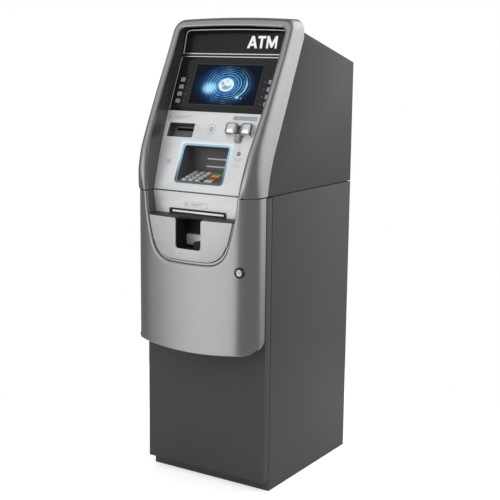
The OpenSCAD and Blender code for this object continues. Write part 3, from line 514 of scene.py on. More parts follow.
def grid_mesh(name, rings, closed_ring=False, caps=False, flip=False):
    """A mesh through rings of points with equal counts, in millimetres."""
    bm = bmesh.new()
    rows = [[bm.verts.new(Vector(p) * MM) for p in ring] for ring in rings]
    count = len(rows[0])
    for a, b in zip(rows, rows[1:]):
        for i in range(count if closed_ring else count - 1):
            j = (i + 1) % count
            quad = (a[i], a[j], b[j], b[i])
            bm.faces.new(quad[::-1] if flip else quad)
    if caps:
        bm.faces.new(rows[0] if flip else rows[0][::-1])
        bm.faces.new(rows[-1][::-1] if flip else rows[-1])
    bmesh.ops.remove_doubles(bm, verts=bm.verts, dist=1e-6)
    mesh = bpy.data.meshes.new(name)
    bm.to_mesh(mesh)
    bm.free()
    return mesh


def lathe(name, profile, steps):
    """A body turned about local Z from (radius, height) points, in millimetres, closed at both ends."""
    rings = [circle(r, h, steps) for r, h in profile]
    return grid_mesh(name, rings, closed_ring=True, caps=True)


def slab(name, loops, thick):
    """A flat plate with holes: loops of (x, y), the first one outside, in millimetres."""
    bm = bmesh.new()
    edges = []
    for loop in loops:
        verts = [bm.verts.new((x * MM, y * MM, 0)) for x, y in loop]
        edges += [bm.edges.new((verts[i], verts[(i + 1) % len(verts)])) for i in range(len(verts))]
    bmesh.ops.triangle_fill(bm, use_beauty=True, use_dissolve=False, edges=edges, normal=(0, 0, 1))
    grown = bmesh.ops.extrude_face_region(bm, geom=list(bm.faces))
    top = [v for v in grown["geom"] if isinstance(v, bmesh.types.BMVert)]
    bmesh.ops.translate(bm, verts=top, vec=(0, 0, thick * MM))
    bmesh.ops.recalc_face_normals(bm, faces=bm.faces)
    mesh = bpy.data.meshes.new(name)
    bm.to_mesh(mesh)
    bm.free()
    return mesh


def cushion_cap(name, w, h, r, base, top, edge, dish):
    """A key cap: rounded rectangle with a soft top edge and a slight dish."""
    levels = [(0, base), (0, top - edge), (edge * 0.3, top - edge * 0.3), (edge, top),
              (edge * 2.2, top - dish * 0.4), (min(w, h) * 0.34, top - dish)]
    rings = []
    for inset, z in levels:
        rings.append([(x, y, z) for x, y in round_rect(w - 2 * inset, h - 2 * inset, max(0.3, r - inset))])
    return grid_mesh(name, rings, closed_ring=True, caps=True)


def refine(cad, material, bevel):
    """Replaces a CAD node with the same shape, its edges softened, in a finished material."""
    bm = bmesh.new()
    bm.from_mesh(NODES[cad].data)
    bmesh.ops.remove_doubles(bm, verts=bm.verts, dist=1e-6)
    bmesh.ops.dissolve_limit(bm, angle_limit=math.radians(1), verts=bm.verts, edges=bm.edges)
    mesh = bpy.data.meshes.new(cad + "_fine")
    bm.to_mesh(mesh)
    bm.free()
    slot = SLOT_OF[cad]
    obj = new_piece(cad + "_fine", mesh, material or slot, BODY_OF[cad], (cad,))
    bake_modifiers(obj, soft_edges(bevel, segments=2, limit=35))
    smooth_shade(obj.data, 32)


def finish_shell(obj, in_shade):
    """Darkens the faces that in_shade(x, y, z) picks, then gives the moulded skin its thickness."""
    obj.data.materials.append(MATERIALS["recess_shade"])
    for face in obj.data.polygons:
        if in_shade(*(v / MM for v in face.center)):
            face.material_index = 1
    bake_modifiers(obj, thickened(SHELL_T, use_even_offset=False))
    smooth_shade(obj.data, 40)


# ---- upper fascia
def seam_fade(z):
    """1 at the seam, 0 from 70 mm above it: the upper fascia meets the lower one's section."""
    return max(0.0, 1 - (z - SEAM_Z) / 70) ** 2


def rise_to_top(z, a, b):
    """A value that goes from a at the seam to b where the legs end."""
    return a + (b - a) * min(1, max(0, (z - SEAM_Z) / (LEG_TOP_Z - SEAM_Z)))


def shoulder_n(z):
    """The reach of the shoulder's control point: it swells just above the seam, then eases back."""
    return SHOULDER_N + 9 * (z - SEAM_Z) / 60 if z < 900 else rise_to_top(z, 76.3, SHOULDER_N)


def lip_n(z):
    """The lip's reach in front of the joint line: full on the legs, shallower at the seam and the top."""
    return 78 - 2.7 * seam_fade(z) - 12 * min(1, max(0, (z - 960) / 250)) ** 1.2


def upper_stations():
    """Places round the opening: outer x and z, lip x and z, and the outward direction."""
    legs, corner, top = 56, 18, 40
    bottom = SEAM_Z + SEAM_GAP
    half = []
    for i in range(legs):
        z = bottom + (LEG_TOP_Z - bottom) * (i / legs) ** 1.1
        half.append((HALF_W, z, upper_lip_w(z), z, 1, 0))
    lip_in, lip_under = LIP_TOP_W - LIP_CORNER_R, LIP_TOP_Z - LIP_CORNER_R
    for lift in (0, 8, 16, 26):
        z = LEG_TOP_Z + lift
        half.append((HALF_W, min(z, TOP_CORNER_Z), upper_lip_w(z), min(z, lip_under), 1, 0))
    for i in range(corner + 1):
        a = math.pi / 2 * i / corner
        c, s = math.cos(a), math.sin(a)
        half.append((HALF_W - CROWN_R + CROWN_R * c, TOP_CORNER_Z + CROWN_R * s,
                     lip_in + LIP_CORNER_R * c, lip_under + LIP_CORNER_R * s, c, s))
    across = []
    for i in range(1, top):
        u = 1 - 2 * i / top
        across.append((u * (HALF_W - CROWN_R), CROWN_Z - CROWN_DROP * u * u, u * lip_in,
                       LIP_TOP_Z + LIP_ARCH * (1 - u * u), 0, 1))
    other = [(-s[0], s[1], -s[2], s[3], -s[4], s[5]) for s in reversed(half)]
    return half + across + other


def upper_ring(ox, oz, lx, lz, dx, dz):
    """The moulding's section from its outer flange (ox, oz) over the shoulder to its lip (lx, lz)."""
    n = lip_n(lz)
    mx, mz = lx + 16 * dx, lz + 16 * dz
    meet = n + 1 - 5.3 * seam_fade(lz)
    crease = rise_to_top(oz, FLANGE_N, 41)
    shoulder = (ox, ahead_y(oz, shoulder_n(oz)), oz)
    skin = bezier((ox, ahead_y(oz, crease), oz), shoulder, (mx, ahead_y(mz, meet), mz), 18)
    near = (lx + 9 * dx, ahead_y(lz + 9 * dz, n + 0.4), lz + 9 * dz)
    roll = bezier(near, (lx, ahead_y(lz, n), lz), (lx, ahead_y(lz, n - 8), lz), 9)
    flange = (ox, min(profile_y(oz), CROWN_Y) - 1, oz)
    return [flange] + skin + roll + [(lx, panel_y(lz) - 14, lz), (lx, panel_y(lz), lz)]


upper_mesh = grid_mesh("upper_fascia_shell", [upper_ring(*s) for s in upper_stations()], flip=True)
upper = new_piece("upper_fascia_shell", upper_mesh, "silver_plastic", "upper",
                  ("upper_fascia",), smooth=0)
finish_shell(upper, lambda x, y, z: abs(x) < upper_lip_w(z) + 0.2 and y > ahead_y(z, lip_n(z) - 9))


# ---- lower fascia
def resample(points, count):
    """The same line through evenly spaced points."""
    lengths = [0.0]
    for a, b in zip(points, points[1:]):
        lengths.append(lengths[-1] + math.dist(a, b))
    out, k = [], 0
    for i in range(count):
        want = lengths[-1] * i / (count - 1)
        while k < len(points) - 2 and lengths[k + 1] < want:
            k += 1
        span = lengths[k + 1] - lengths[k]
        f = (want - lengths[k]) / span if span else 0
        out.append(tuple(p + (q - p) * f for p, q in zip(points[k], points[k + 1])))
    return out


def open_window(mesh, *spans):
    """Cuts away the skin inside a box given by its x, y and z spans in millimetres."""
    lows, highs = (Vector([span[end] * MM for span in spans]) for end in (0, 1))

    def inside(point, spare=0.0):
        return all(lo - spare < value < hi + spare for lo, value, hi in zip(lows, point, highs))

    bm = bmesh.new()
    bm.from_mesh(mesh)
    for corner in (lows, highs):
        for axis in range(3):
            normal = Vector([float(axis == i) for i in range(3)])
            faces = [f for f in bm.faces if any(inside(v.co, 25 * MM) for v in f.verts)]
            rims = {part for f in faces for part in (*f.edges, *f.verts)}
            bmesh.ops.bisect_plane(bm, geom=[*rims, *faces], dist=0.01 * MM, plane_co=corner, plane_no=normal)
    bmesh.ops.delete(bm, geom=[f for f in bm.faces if inside(f.calc_center_median())], context="FACES")
    bm.to_mesh(mesh)
    bm.free()


def lower_stations():
    """Right half, from the seam down: pairs of a point on the fascia's rim and one on its opening."""
    top = SEAM_Z - SEAM_GAP
    pairs = []
    for i in range(14):
        z = top + (NOTCH_BEND_Z - top) * i / 14
        pairs.append(((HALF_W, z), (lower_lip_w(z), z)))
    inner = [p for p in notch_edge() if p[1] <= NOTCH_BEND_Z + 0.01]
    corner_z = skirt_edge(HALF_W - SKIRT_R) + SKIRT_R
    corner = [(HALF_W - SKIRT_R + SKIRT_R * math.cos(a), corner_z - SKIRT_R * math.sin(a))
              for a in (math.radians(80) * i / 12 for i in range(13))]
    outer = [(HALF_W, NOTCH_BEND_Z - 4)] + corner + [(x, skirt_edge(x)) for x in range(170, -1, -5)]
    count = 64
    return pairs + list(zip(resample(outer, count), resample(inner, count)))


def lower_ring(outer, inner):
    """The moulding's section from its rim at outer, across the front, to its lip at inner."""
    (xo, zo), (xi, zi) = outer, inner
    length = math.dist(outer, inner)
    side = min(1.0, max(0.0, (HALF_W - xo) / SKIRT_R))
    edge_r = 2.5 * side
    back = (FLANGE_N - FLANGE_GAP) * (1 - side) + 12 * side
    edge_n = fascia_n(xo)
    ring = [(xo, FRONT_Y - edge_n + back, zo), (xo, FRONT_Y - edge_n + edge_r, zo)]
    start, stop, count = edge_r / length, 1 - 9 / length, 34
    for i in range(count):
        q = start + (stop - start) * (i / (count - 1)) ** 2
        x = xo + (xi - xo) * q
        ring.append((x, FRONT_Y - skin_n(x), zo + (zi - zo) * q))
    xr, yr, zr = ring[-1]
    n = skin_n(xi)
    ring += bezier((xr, yr, zr), (xi, FRONT_Y - n, zi), (xi, FRONT_Y - n + 8, zi), 9)[1:]
    return ring + [(xi, FRONT_Y - SLOT_FACE_N - 14, zi), (xi, FRONT_Y - SLOT_FACE_N, zi)]


half = [lower_ring(*pair) for pair in lower_stations()]
mirrored_half = [[(-x, y, z) for x, y, z in ring] for ring in reversed(half[:-1])]
lower_mesh = grid_mesh("lower_fascia_shell", half + mirrored_half)
for hinge_z in LOWER_HINGE_ZS:
    open_window(lower_mesh, (-HALF_W - 1, -HALF_W + 8), (FRONT_Y - 22, FRONT_Y), (hinge_z - 2, hinge_z + 22))
lower = new_piece("lower_fascia_shell", lower_mesh, "silver_plastic", "lower",
                  ("lower_fascia",), smooth=0)
finish_shell(lower, lambda x, y, z: (abs(x) < lower_lip_w(z) + 0.3 and z > NOTCH_FLOOR_Z - 0.5
                                     and y > FRONT_Y - fascia_n(x) + 8))


# ---- curved tray panel inside the U
def curved_plate(name, outline, surface_n, cuts=3.0):
    """A skin with an upright outline of (x, z), bent to y = FRONT_Y - surface_n(x), in millimetres."""
    bm = bmesh.new()
    verts = [bm.verts.new((x, 0, z)) for x, z in outline]
    bm.faces.new(verts)
    x = math.ceil(min(p[0] for p in outline) / cuts) * cuts
    while x < max(p[0] for p in outline):
        geometry = list(bm.verts) + list(bm.edges) + list(bm.faces)
        bmesh.ops.bisect_plane(bm, geom=geometry, dist=0.01, plane_co=(x, 0, 0), plane_no=(1, 0, 0))
        x += cuts
    for v in bm.verts:
        v.co.y = FRONT_Y - surface_n(v.co.x)
    bmesh.ops.scale(bm, verts=bm.verts, vec=(MM, MM, MM))
    bmesh.ops.recalc_face_normals(bm, faces=bm.faces)
    if sum(f.normal.y * f.calc_area() for f in bm.faces) > 0:
        bmesh.ops.reverse_faces(bm, faces=bm.faces)
    mesh = bpy.data.meshes.new(name)
    bm.to_mesh(mesh)
    bm.free()
    return mesh


TRAY_TOP_Z = high("tray_panel", 2)



def mirrored(right_half):
    """The left half of an outline, in the order that carries on from the right half."""
    return [(-x, z) for x, z in reversed(right_half)]


def edge_below_top(inset, rise):
    return [p for p in notch_edge(inset, rise, TRAY_TOP_Z) if p[1] <= TRAY_TOP_Z]


pocket_half, pocket_floor, pocket_r = 42, 690, 9
corner_x, corner_z = pocket_half - pocket_r, pocket_floor + pocket_r
edge = edge_below_top(3.5, 8)
pocket = bezier((pocket_half + 7, TRAY_TOP_Z), (pocket_half, TRAY_TOP_Z), (pocket_half, TRAY_TOP_Z - 8), 6)
for i in range(9):
    a = math.pi / 2 * i / 8
    pocket.append((corner_x + pocket_r * math.cos(a), corner_z - pocket_r * math.sin(a)))
outline = edge[::-1] + pocket + mirrored(pocket) + mirrored(edge)[::-1][:-1]
tray_mesh = curved_plate("tray_panel_fine", outline, lambda x: fascia_n(x) - 2)
tray = new_piece("tray_panel_fine", tray_mesh, "tray_silver", "lower", ("tray_panel",),
                 smooth=0)
bake_modifiers(tray, thickened(3), soft_edges(0.8))
smooth_shade(tray.data, 45)

near_edge, far_edge = edge_below_top(0.5, 0.5), edge_below_top(2.6, 5.5)
strip = near_edge + mirrored(near_edge)[1:] + mirrored(far_edge)[::-1] + far_edge[::-1][1:]
ledge_mesh = curved_plate("notch_ledge", strip, lambda x: fascia_n(x) - 6)
notch_ledge = new_piece("notch_ledge", ledge_mesh, "silver_plastic", "lower", smooth=0)
bake_modifiers(notch_ledge, thickened(2), soft_edges(0.4, segments=2))


# ---- softened CAD pieces
CUSTOM = {"upper_fascia", "lower_fascia", "tray_panel", "card_reader_bezel", "led_rim", "lock_housing",
          "cash_shutter"}
CUSTOM |= {n for n in NODES if n.startswith(("fkey_", "pin_key_"))}
FINISH = {"safe_door": "door_paint", "pin_pad_tray": "well_plastic", "cash_tray": "black_plastic",
          "display_module": "black_plastic", "receipt_chute": "chute_silver", "control_panel": "glow_panel"}
BEVELS = {"safe_body": 1.2, "upper_housing": 0.9, "safe_door": 1.5, "rear_panel": 0.8,
          "cash_slot_panel": 0.6, "control_panel": 0.5, "display_bezel": 0.6, "header_panel": 0.5,
          "cash_tray": 1.0, "pin_pad_tray": 0.8, "receipt_chute": 0.6, "door_handle": 1.5,
          "combination_dial": 0.8, "cash_cassette": 1.2}
for cad in sorted(NODES):
    if cad not in CUSTOM:
        refine(cad, FINISH.get(cad), BEVELS.get(cad, 0.4))
# The pocket's inside faces, below the tray panel's top, take the darker copy: painted shade in the deep
# pocket behind the cut.
pocket_mesh = bpy.data.objects["cash_tray_fine"].data
pocket_mesh.materials.append(MATERIALS["pocket_painted_shade"])
for face in pocket_mesh.polygons:
    if face.center.z < (TRAY_TOP_Z - 3) * MM:
        face.material_index = 1


# ---- small pieces
def plate(name, loops, thick, material, body, matrix, bevel=0.0):
    """A thin flat piece lying on a face, its edges softened by bevel."""
    obj = new_piece(name, slab(name, loops, thick), material, body, (), matrix, smooth=0)
    if bevel:
        bake_modifiers(obj, soft_edges(bevel))
    smooth_shade(obj.data, 40)


def shifted(points, dx=0.0, dy=0.0):
    return [(x + dx, y + dy) for x, y in points]


def text_mesh(name, words, size, depth, bold):
    """A digit as a mesh, size high, depth thick and thickened by bold, in millimetres."""
    curve = bpy.data.curves.new(name, "FONT")
    curve.body = words
    curve.size = size * MM
    curve.extrude = depth * MM / 2
    curve.offset = bold * MM
    curve.align_x = curve.align_y = "CENTER"
    temporary = bpy.data.objects.new(name, curve)
    bpy.context.scene.collection.objects.link(temporary)
    bpy.context.view_layer.update()
    mesh = bpy.data.meshes.new_from_object(temporary.evaluated_get(bpy.context.evaluated_depsgraph_get()))
    bpy.data.objects.remove(temporary)
    bpy.data.curves.remove(curve)
    return mesh


# function keys
FKEY_X, FKEY_S0, FKEY_PITCH = 147, 265, 21.6
for side, sign in (("left", -1), ("right", 1)):
    for row in range(4):
        name = f"fkey_{side}_{row + 1}"
        s = FKEY_S0 + row * FKEY_PITCH
        cap = cushion_cap(name + "_cap", 15.4, 12.4, 2.0, -5, 2.4, edge=1.1, dish=0.5)
        new_piece(name + "_cap", cap, "key_silver", name, (name,), on_panel(sign * FKEY_X, s))
        mark = slab(name + "_mark", [round_rect(5.5, 0.9, 0.4, 3)], 0.1)
        new_piece(name + "_mark", mark, "ink", name, (), on_panel(sign * FKEY_X, s, 1.92))
        for k in range(3):
            dot = slab(f"{name}_dot_{k}", [round_rect(1.2, 2.6 - 0.6 * k, 0.3, 2)], 0.12)
            place = on_panel(sign * (FKEY_X - 17 - 2.2 * k), s)
            new_piece(f"{name}_dot_{k}", dot, "faint_ink", "upper", (), place)

# keypad
KEY_X, KEY_W, KEY_D, KEY_V0, KEY_PITCH = (-62, -39.5, -17, 20), (15, 15, 15, 27), 12, 13, 18.5
KEY_ROWS = [["1", "2", "3", "cancel"], ["4", "5", "6", "clear"], ["7", "8", "9", "enter"],
            ["left", "0", "right", "blank"]]
KEY_SIGNS = {
    "cancel": [[(-3, -2.2), (-2.2, -3), (0, -0.8), (2.2, -3), (3, -2.2), (0.8, 0), (3, 2.2), (2.2, 3),
                (0, 0.8), (-2.2, 3), (-3, 2.2), (-0.8, 0)]],
    "clear": [[(-4, 0), (0, 3), (0, 1), (4, 1), (4, -1), (0, -1), (0, -3)]],
    "enter": [round_rect(6.4, 6.4, 3.19, 8), round_rect(4.6, 4.6, 2.29, 8)[::-1]],
    "left": [[(-2.4, 0), (1.6, 2.6), (1.6, -2.6)]],
    "right": [[(2.4, 0), (-1.6, -2.6), (-1.6, 2.6)]],
    "blank": [round_rect(8, 1.0, 0.45, 3)],
}
for row, names in enumerate(KEY_ROWS):
    for col, key in enumerate(names):
        name = "pin_key_" + key
        v = KEY_V0 + (3 - row) * KEY_PITCH
        cap = cushion_cap(name + "_cap", KEY_W[col], KEY_D, 1.6, -6, 3.2, edge=0.9, dish=0.35)
        new_piece(name + "_cap", cap, SLOT_OF[name], name, (name,), on_keypad(KEY_X[col], v))
        if key.isdigit():
            mark = text_mesh(name + "_digit", key, 8.5, 0.1, 0.12)
        else:
            mark = slab(name + "_sign", KEY_SIGNS[key], 0.1)
        new_piece(name + "_print", mark, "ink", name, (), on_keypad(KEY_X[col], v, 2.86))

# raised surround of the keys and the two light bars on the well's back wall
holes = [shifted(round_rect(w + 1.6, KEY_D + 1.6, 2.2, 4), x, KEY_V0 + k * KEY_PITCH)[::-1]
         for x, w in zip(KEY_X, KEY_W) for k in range(4)]
plate("keypad_surround", [shifted(round_rect(118, 78, 5), -21.5, 40.5)] + holes, 0.9, "steel", "upper",
      on_keypad(0, 0, 0.02), bevel=0.25)
WELL_BACK_Y = PAD_FRONT[0] + 85
for k, (z, width) in enumerate(((925, 84), (903, 88))):
    bar = cushion_cap(f"well_bar_{k}", width, 3.6, 1.7, -1, 1.2, edge=0.7, dish=0.0)
    new_piece(f"well_bar_{k}", bar, "soft_light", "upper", (),
              face_frame(10 - 3 * k, WELL_BACK_Y - 6 * (z - 890) / 62 - 0.4, z, -0.096, 1))

# light round the keypad well
rim_levels = [(PAD_W + 12, 11, 0.0), (PAD_W + 12, 11, 1.0), (PAD_W + 9.4, 10, 2.0), (PAD_W + 3, 8.6, 2.0),
              (PAD_W + 0.4, 8, 1.0), (PAD_W + 0.4, 8, 0.0)]
rim_rings = [[(x, y, out) for x, y in round_rect(w, PAD_H + (w - PAD_W) * 0.82, r, 8)]
             for w, r, out in rim_levels]
new_piece("led_rim_glow", grid_mesh("led_rim_glow", rim_rings + rim_rings[:1], closed_ring=True),
          "led_diffuser", "upper", ("led_rim",), on_panel(PAD_X, PAD_S))

# screen
SCREEN_S = 318
plate("screen_picture", [round_rect(221.2, 120.2, 1.5)], 0.15, "screen", "upper", on_panel(0, SCREEN_S, -1.5))
plate("screen_frame", [round_rect(226, 125, 3), round_rect(221, 120, 1.5)[::-1]], 0.5, "black_plastic",
      "upper", on_panel(0, SCREEN_S, 0.02), bevel=0.15)


# header: trim lines, outline and letters
def tube_along(name, points, radius, matrix, flat=1.0):
    """A thin moulding that follows (x, y) points in a face's own frame."""
    rings = []
    for i, (x, y) in enumerate(points):
        a, b = points[max(0, i - 1)], points[min(len(points) - 1, i + 1)]
        across = Vector((-(b[1] - a[1]), b[0] - a[0])).normalized()
        rings.append([(x + across.x * u, y + across.y * u, flat * out) for u, out, _ in circle(radius, 0, 8)])
    mesh = grid_mesh(name, rings, closed_ring=True, caps=True)
    new_piece(name, mesh, "trim_silver", "upper", (), matrix)


def panel_half_w(s):
    """Half the panel's width at s up its slope."""
    return upper_lip_w(SEAM_Z + s * math.cos(PANEL_LEAN))


for side, sign in (("left", -1), ("right", 1)):
    trim = [(sign * (panel_half_w(s) - 3), s) for s in range(238, 404, 6)]
    tube_along("panel_edge_trim_" + side, trim, 1.0, on_panel(0, 0, 0.1))
TRIM_R, TRIM_ARCH = 13, 3
trim_w, trim_top = SIGN_HALF_W - 2, SIGN_H - 2
bend_x, bend_y = trim_w - TRIM_R, trim_top - TRIM_ARCH - TRIM_R
trim = [(trim_w, y) for y in (4, 20, 40, bend_y)]
for i in range(1, 9):
    a = math.pi / 2 * i / 8
    trim.append((bend_x + TRIM_R * math.cos(a), bend_y + TRIM_R * math.sin(a)))
trim += [(x, trim_top - TRIM_ARCH * (x / trim_w) ** 2) for x in range(bend_x - 8, 0, -12)]
trim += mirrored(trim)
tube_along("sign_outline_trim", trim, 1.8, on_sign(0, 0, 0.3))
line = [(x * trim_w / 20, 0) for x in range(-20, 21)]
tube_along("header_trim_low", line, 2.0, on_panel(0, SIGN_S - 3, 0.2), 0.8)
tube_along("header_trim_high", line, 2.0, on_sign(0, 5.5, 0.2), 0.8)

LETTER_H, LETTER_W, STROKE = 34.6, 32, 6.8
LETTERS_X, LETTERS_END, LETTERS_LOW = 44, 139, 22.7


def letter(name, loops, x):
    plate("header_letter_" + name, loops, 1.2, "white_light", "upper", on_sign(x, LETTERS_LOW), bevel=0.3)


half_w, foot = LETTER_W / 2, STROKE * 1.06
bar_low, bar_high = 0.20 * LETTER_H, 0.38 * LETTER_H
slope = (half_w - STROKE * 0.5) / LETTER_H


def leg_in(y):
    """Half width of the A's inner edge at height y."""
    return max(0.0, half_w - foot - slope * y)


low_in, high_in = leg_in(bar_low), leg_in(bar_high)
letter("a", [[(-half_w, 0), (foot - half_w, 0), (-low_in, bar_low), (low_in, bar_low), (half_w - foot, 0),
              (half_w, 0), (STROKE * 0.58, LETTER_H), (-STROKE * 0.58, LETTER_H)],
             [(0, bar_high + high_in / slope * 0.92), (high_in, bar_high), (-high_in, bar_high)]],
       LETTERS_X + half_w)
half_w, stem, arm = LETTER_W * 0.39, STROKE / 2, LETTER_H - STROKE
letter("t", [[(-stem, 0), (stem, 0), (stem, arm), (half_w, arm), (half_w, LETTER_H), (-half_w, LETTER_H),
              (-half_w, arm), (-stem, arm)]], LETTERS_X + LETTER_W + half_w + 0.5)
half_w, post, shoulder = LETTER_W * 0.52, STROKE * 0.82, STROKE * 0.95
m_right = [(STROKE * 0.36, LETTER_H * 0.06), (half_w - post, LETTER_H * 0.62), (half_w - post, 0),
           (half_w, 0), (half_w, LETTER_H), (half_w - shoulder, LETTER_H)]
letter("m", [m_right + [(0, LETTER_H * 0.42)] + mirrored(m_right)], LETTERS_END - half_w)


# ---- printed marks on the panels
def printed(name, loops, x, s, thick=0.12, material="faint_ink", lift=0.01, bevel=0.0):
    """A mark on the upper fascia's panel."""
    plate(name, loops, thick, material, "upper", on_panel(x, s, lift), bevel)


def label(name, w, h, body, place):
    """A thin outline with an icon and strokes in it, with no words. place(x, y) starts from its middle."""
    edge_loops = [round_rect(w, h, 1.8, 4), round_rect(w - 1, h - 1, 1.4, 4)[::-1]]
    plate(name + "_edge", edge_loops, 0.12, "faint_ink", body, place(0, 0))
    plate(name + "_icon", [round_rect(5.4, 4.0, 0.6, 2)], 0.12, "faint_ink", body, place(7 - w / 2, 0))
    room = w - 26
    for k in range(3):
        stroke = [round_rect(room * (0.9 - 0.22 * k), 0.7, 0.3, 2)]
        plate(f"{name}_line_{k}", stroke, 0.12, "faint_ink", body, place(6 - room * 0.11 * k, 2.2 - 2.2 * k))


CARD_LABEL_X, CARD_LABEL_S = 93, 222
BADGE_X, BADGE_S = -9, 186
VOICE_X, VOICE_S, VOICE_PITCH = 92, 88, 4.6
GUIDE_X, GUIDE_S = -124, 84
JACK_X, JACK_S = 100, 120
label("receipt_label", 92, 13, "upper", lambda x, y: on_panel(x - 119, y + 216, 0.02))
printed("card_label_field", [round_rect(78, 12, 2.2, 4)], CARD_LABEL_X, CARD_LABEL_S, 0.1, "label_blue")
label("card_label", 74, 9.5, "upper", lambda x, y: on_panel(x + CARD_LABEL_X, y + CARD_LABEL_S, 0.12))
label("cash_label", 78, 13, "lower", lambda x, y: on_front(x - 5, y + 806.5, SLOT_FACE_N))
badge_ring = [round_rect(29, 29, 14.4, 8), round_rect(27.6, 27.6, 13.7, 8)[::-1]]
printed("badge_ring", badge_ring, BADGE_X, BADGE_S, 0.2, lift=0.02)
printed("badge_disc", [round_rect(15, 15, 7.4, 8)], BADGE_X, BADGE_S, 0.3, "label_blue", 0.02, bevel=0.1)
for k in range(5):
    for row, drop in (("", 0), ("_low", 5)):
        printed(f"voice_hole{row}_{k}", [round_rect(1.7, 1.7, 0.84, 4)], VOICE_X + VOICE_PITCH * k,
                VOICE_S - drop, material="ink")
guide_box = [round_rect(13, 13, 2.5, 4), round_rect(10.8, 10.8, 1.6, 4)[::-1]]
printed("guide_mark", guide_box, GUIDE_X, GUIDE_S, 0.2)
printed("guide_mark_dot", [round_rect(5, 5, 2.4, 6)], GUIDE_X, GUIDE_S)
for k in range(3):
    printed(f"jack_line_{k}", [round_rect(24 - 5 * k, 0.9, 0.4, 2)], JACK_X + 1, JACK_S - 14 - 4 * k)
jack_plate = [round_rect(9, 3.6, 1.2, 3), round_rect(8, 2.6, 0.9, 3)[::-1]]
printed("jack_mark", jack_plate, JACK_X + 1, JACK_S + 13)
jack = [(5.8, 0.0), (6.0, 0.6), (5.4, 1.1), (3.6, 1.1), (2.9, 0.6), (2.4, -6), (0.01, -6)]
new_piece("jack_ring", lathe("jack_ring", jack, 32), "black_plastic", "upper", (),
          on_panel(JACK_X, JACK_S))


# ---- card reader mouth
def block(name, levels, material, matrix, body="upper", stands_for=()):
    """A moulded block lofted through rounded rectangles: (width, height, radius, x, y, out)."""
    rings = [[(px + x, py + y, out) for px, py in round_rect(w, h, r, 8)] for w, h, r, x, y, out in levels]
    mesh = grid_mesh(name, rings, closed_ring=True, caps=True)
    new_piece(name, mesh, material, body, stands_for, matrix, smooth=50)


READER = on_panel(88, 184)
for side, sign in (("left", -1), ("right", 1)):
    lobe = [(40, 38, 9, sign * 24, 2, 0), (40, 38, 9, sign * 24, 2, 4), (39, 36, 9, sign * 24, 3, 10),
            (36, 31, 9, sign * 24.5, 4.5, 15), (30, 25, 9, sign * 25, 6, 18),
            (22, 17, 7, sign * 25.5, 7, 19.4), (10, 7, 3, sign * 26, 8, 19.8)]
    stands_for = ("card_reader_bezel",) if sign < 0 else ()
    block("card_lobe_" + side, lobe, "chrome_plastic", READER, stands_for=stands_for)
throat = [(30, 30, 5, 0, 0, 0), (26, 28, 5, 0, 0, 7), (18, 24, 5, 0, 1, 11), (8, 18, 3.5, 0, 2, 12)]
block("card_throat", throat, "black_plastic", READER)
tongue = [(22, 36, 5, 0, -16, 0), (21, 35, 5, 0, -16, 4), (18, 31, 5, 0, -15, 8), (12, 24, 4, 0, -14, 10.5),
          (6, 14, 2.5, 0, -13, 11)]
block("card_tongue", tongue, "key_silver", READER)
card_slot = [(34, 3.4, 1.5, 0, 7, 8), (34, 3.4, 1.5, 0, 7, 13.2), (33, 2.4, 1.1, 0, 7, 13.6)]
block("card_slot_mouth", card_slot, "ink", READER)

# ---- cash slot, shelf and lock
SLOT_Z = 785
plate("slot_surround", [round_rect(190, 17, 5), round_rect(178, 8.4, 2.5)[::-1]], 2.2, "black_gloss", "lower",
      on_front(0, SLOT_Z, SLOT_FACE_N), bevel=0.7)
shutter = [(172, 6.0, 1.4, 0, -3.0, -0.9), (172, 6.0, 1.4, 0, -3.0, 0.3), (171, 5.2, 1.2, 0, -3.0, 1.0)]
block("shutter_blade", shutter, "trim_silver", on_front(0, SLOT_Z + 3, SLOT_FACE_N - 1.5), "shutter",
      ("cash_shutter",))
LOCK_X, LOCK_Z, LOCK_N = 161, 642, 77
lock_section = [(14.5, -8), (14.5, 0.6), (13.9, 1.6), (12.6, 2.0), (10.6, 2.0), (9.7, 1.3), (9.3, 0.4),
                (9.3, -30), (10.8, -30), (10.8, -8), (14.5, -8)]
lock_rings = [circle(r, out, 48) for r, out in lock_section]
new_piece("lock_ring", grid_mesh("lock_ring", lock_rings, closed_ring=True), "black_gloss", "lower",
          ("lock_housing",), on_front(LOCK_X, LOCK_Z, LOCK_N - 2))
ledge = [(84, 30, 3, 0, 0, -16), (84, 30, 3, 0, 0, -2), (82, 28, 2.4, 0, 0, -0.6), (78, 24, 2, 0, 0, 0)]
block("pocket_ledge", ledge, "tray_silver", on_front(0, 708, 34), "lower")

# ---- screws on the back
screw = [(3.6, 0), (3.6, 0.7), (3.0, 1.5), (1.8, 1.9), (1.6, 1.2), (0.01, 1.1)]
half_turn = Matrix.Rotation(math.radians(180), 4, "Z")
SCREW_LOW, SCREW_MID, SCREW_TOP = 874, 1010, 1146
screw_places = [(x, z) for x in (-170, 170) for z in (SCREW_LOW, SCREW_MID, SCREW_TOP)]
screw_places += [(x, z) for z in (SCREW_LOW, SCREW_TOP) for x in (-60, 60)]
for i, (x, z) in enumerate(screw_places):
    place = half_turn @ face_frame(0, 0, 0, 0, 1)
    place.translation = Vector((x * MM, cad_bounds[1][1] - 2 * MM, z * MM))
    new_piece(f"rear_screw_{i}", lathe(f"rear_screw_{i}", screw, 24), "steel", "cabinet", (), place)

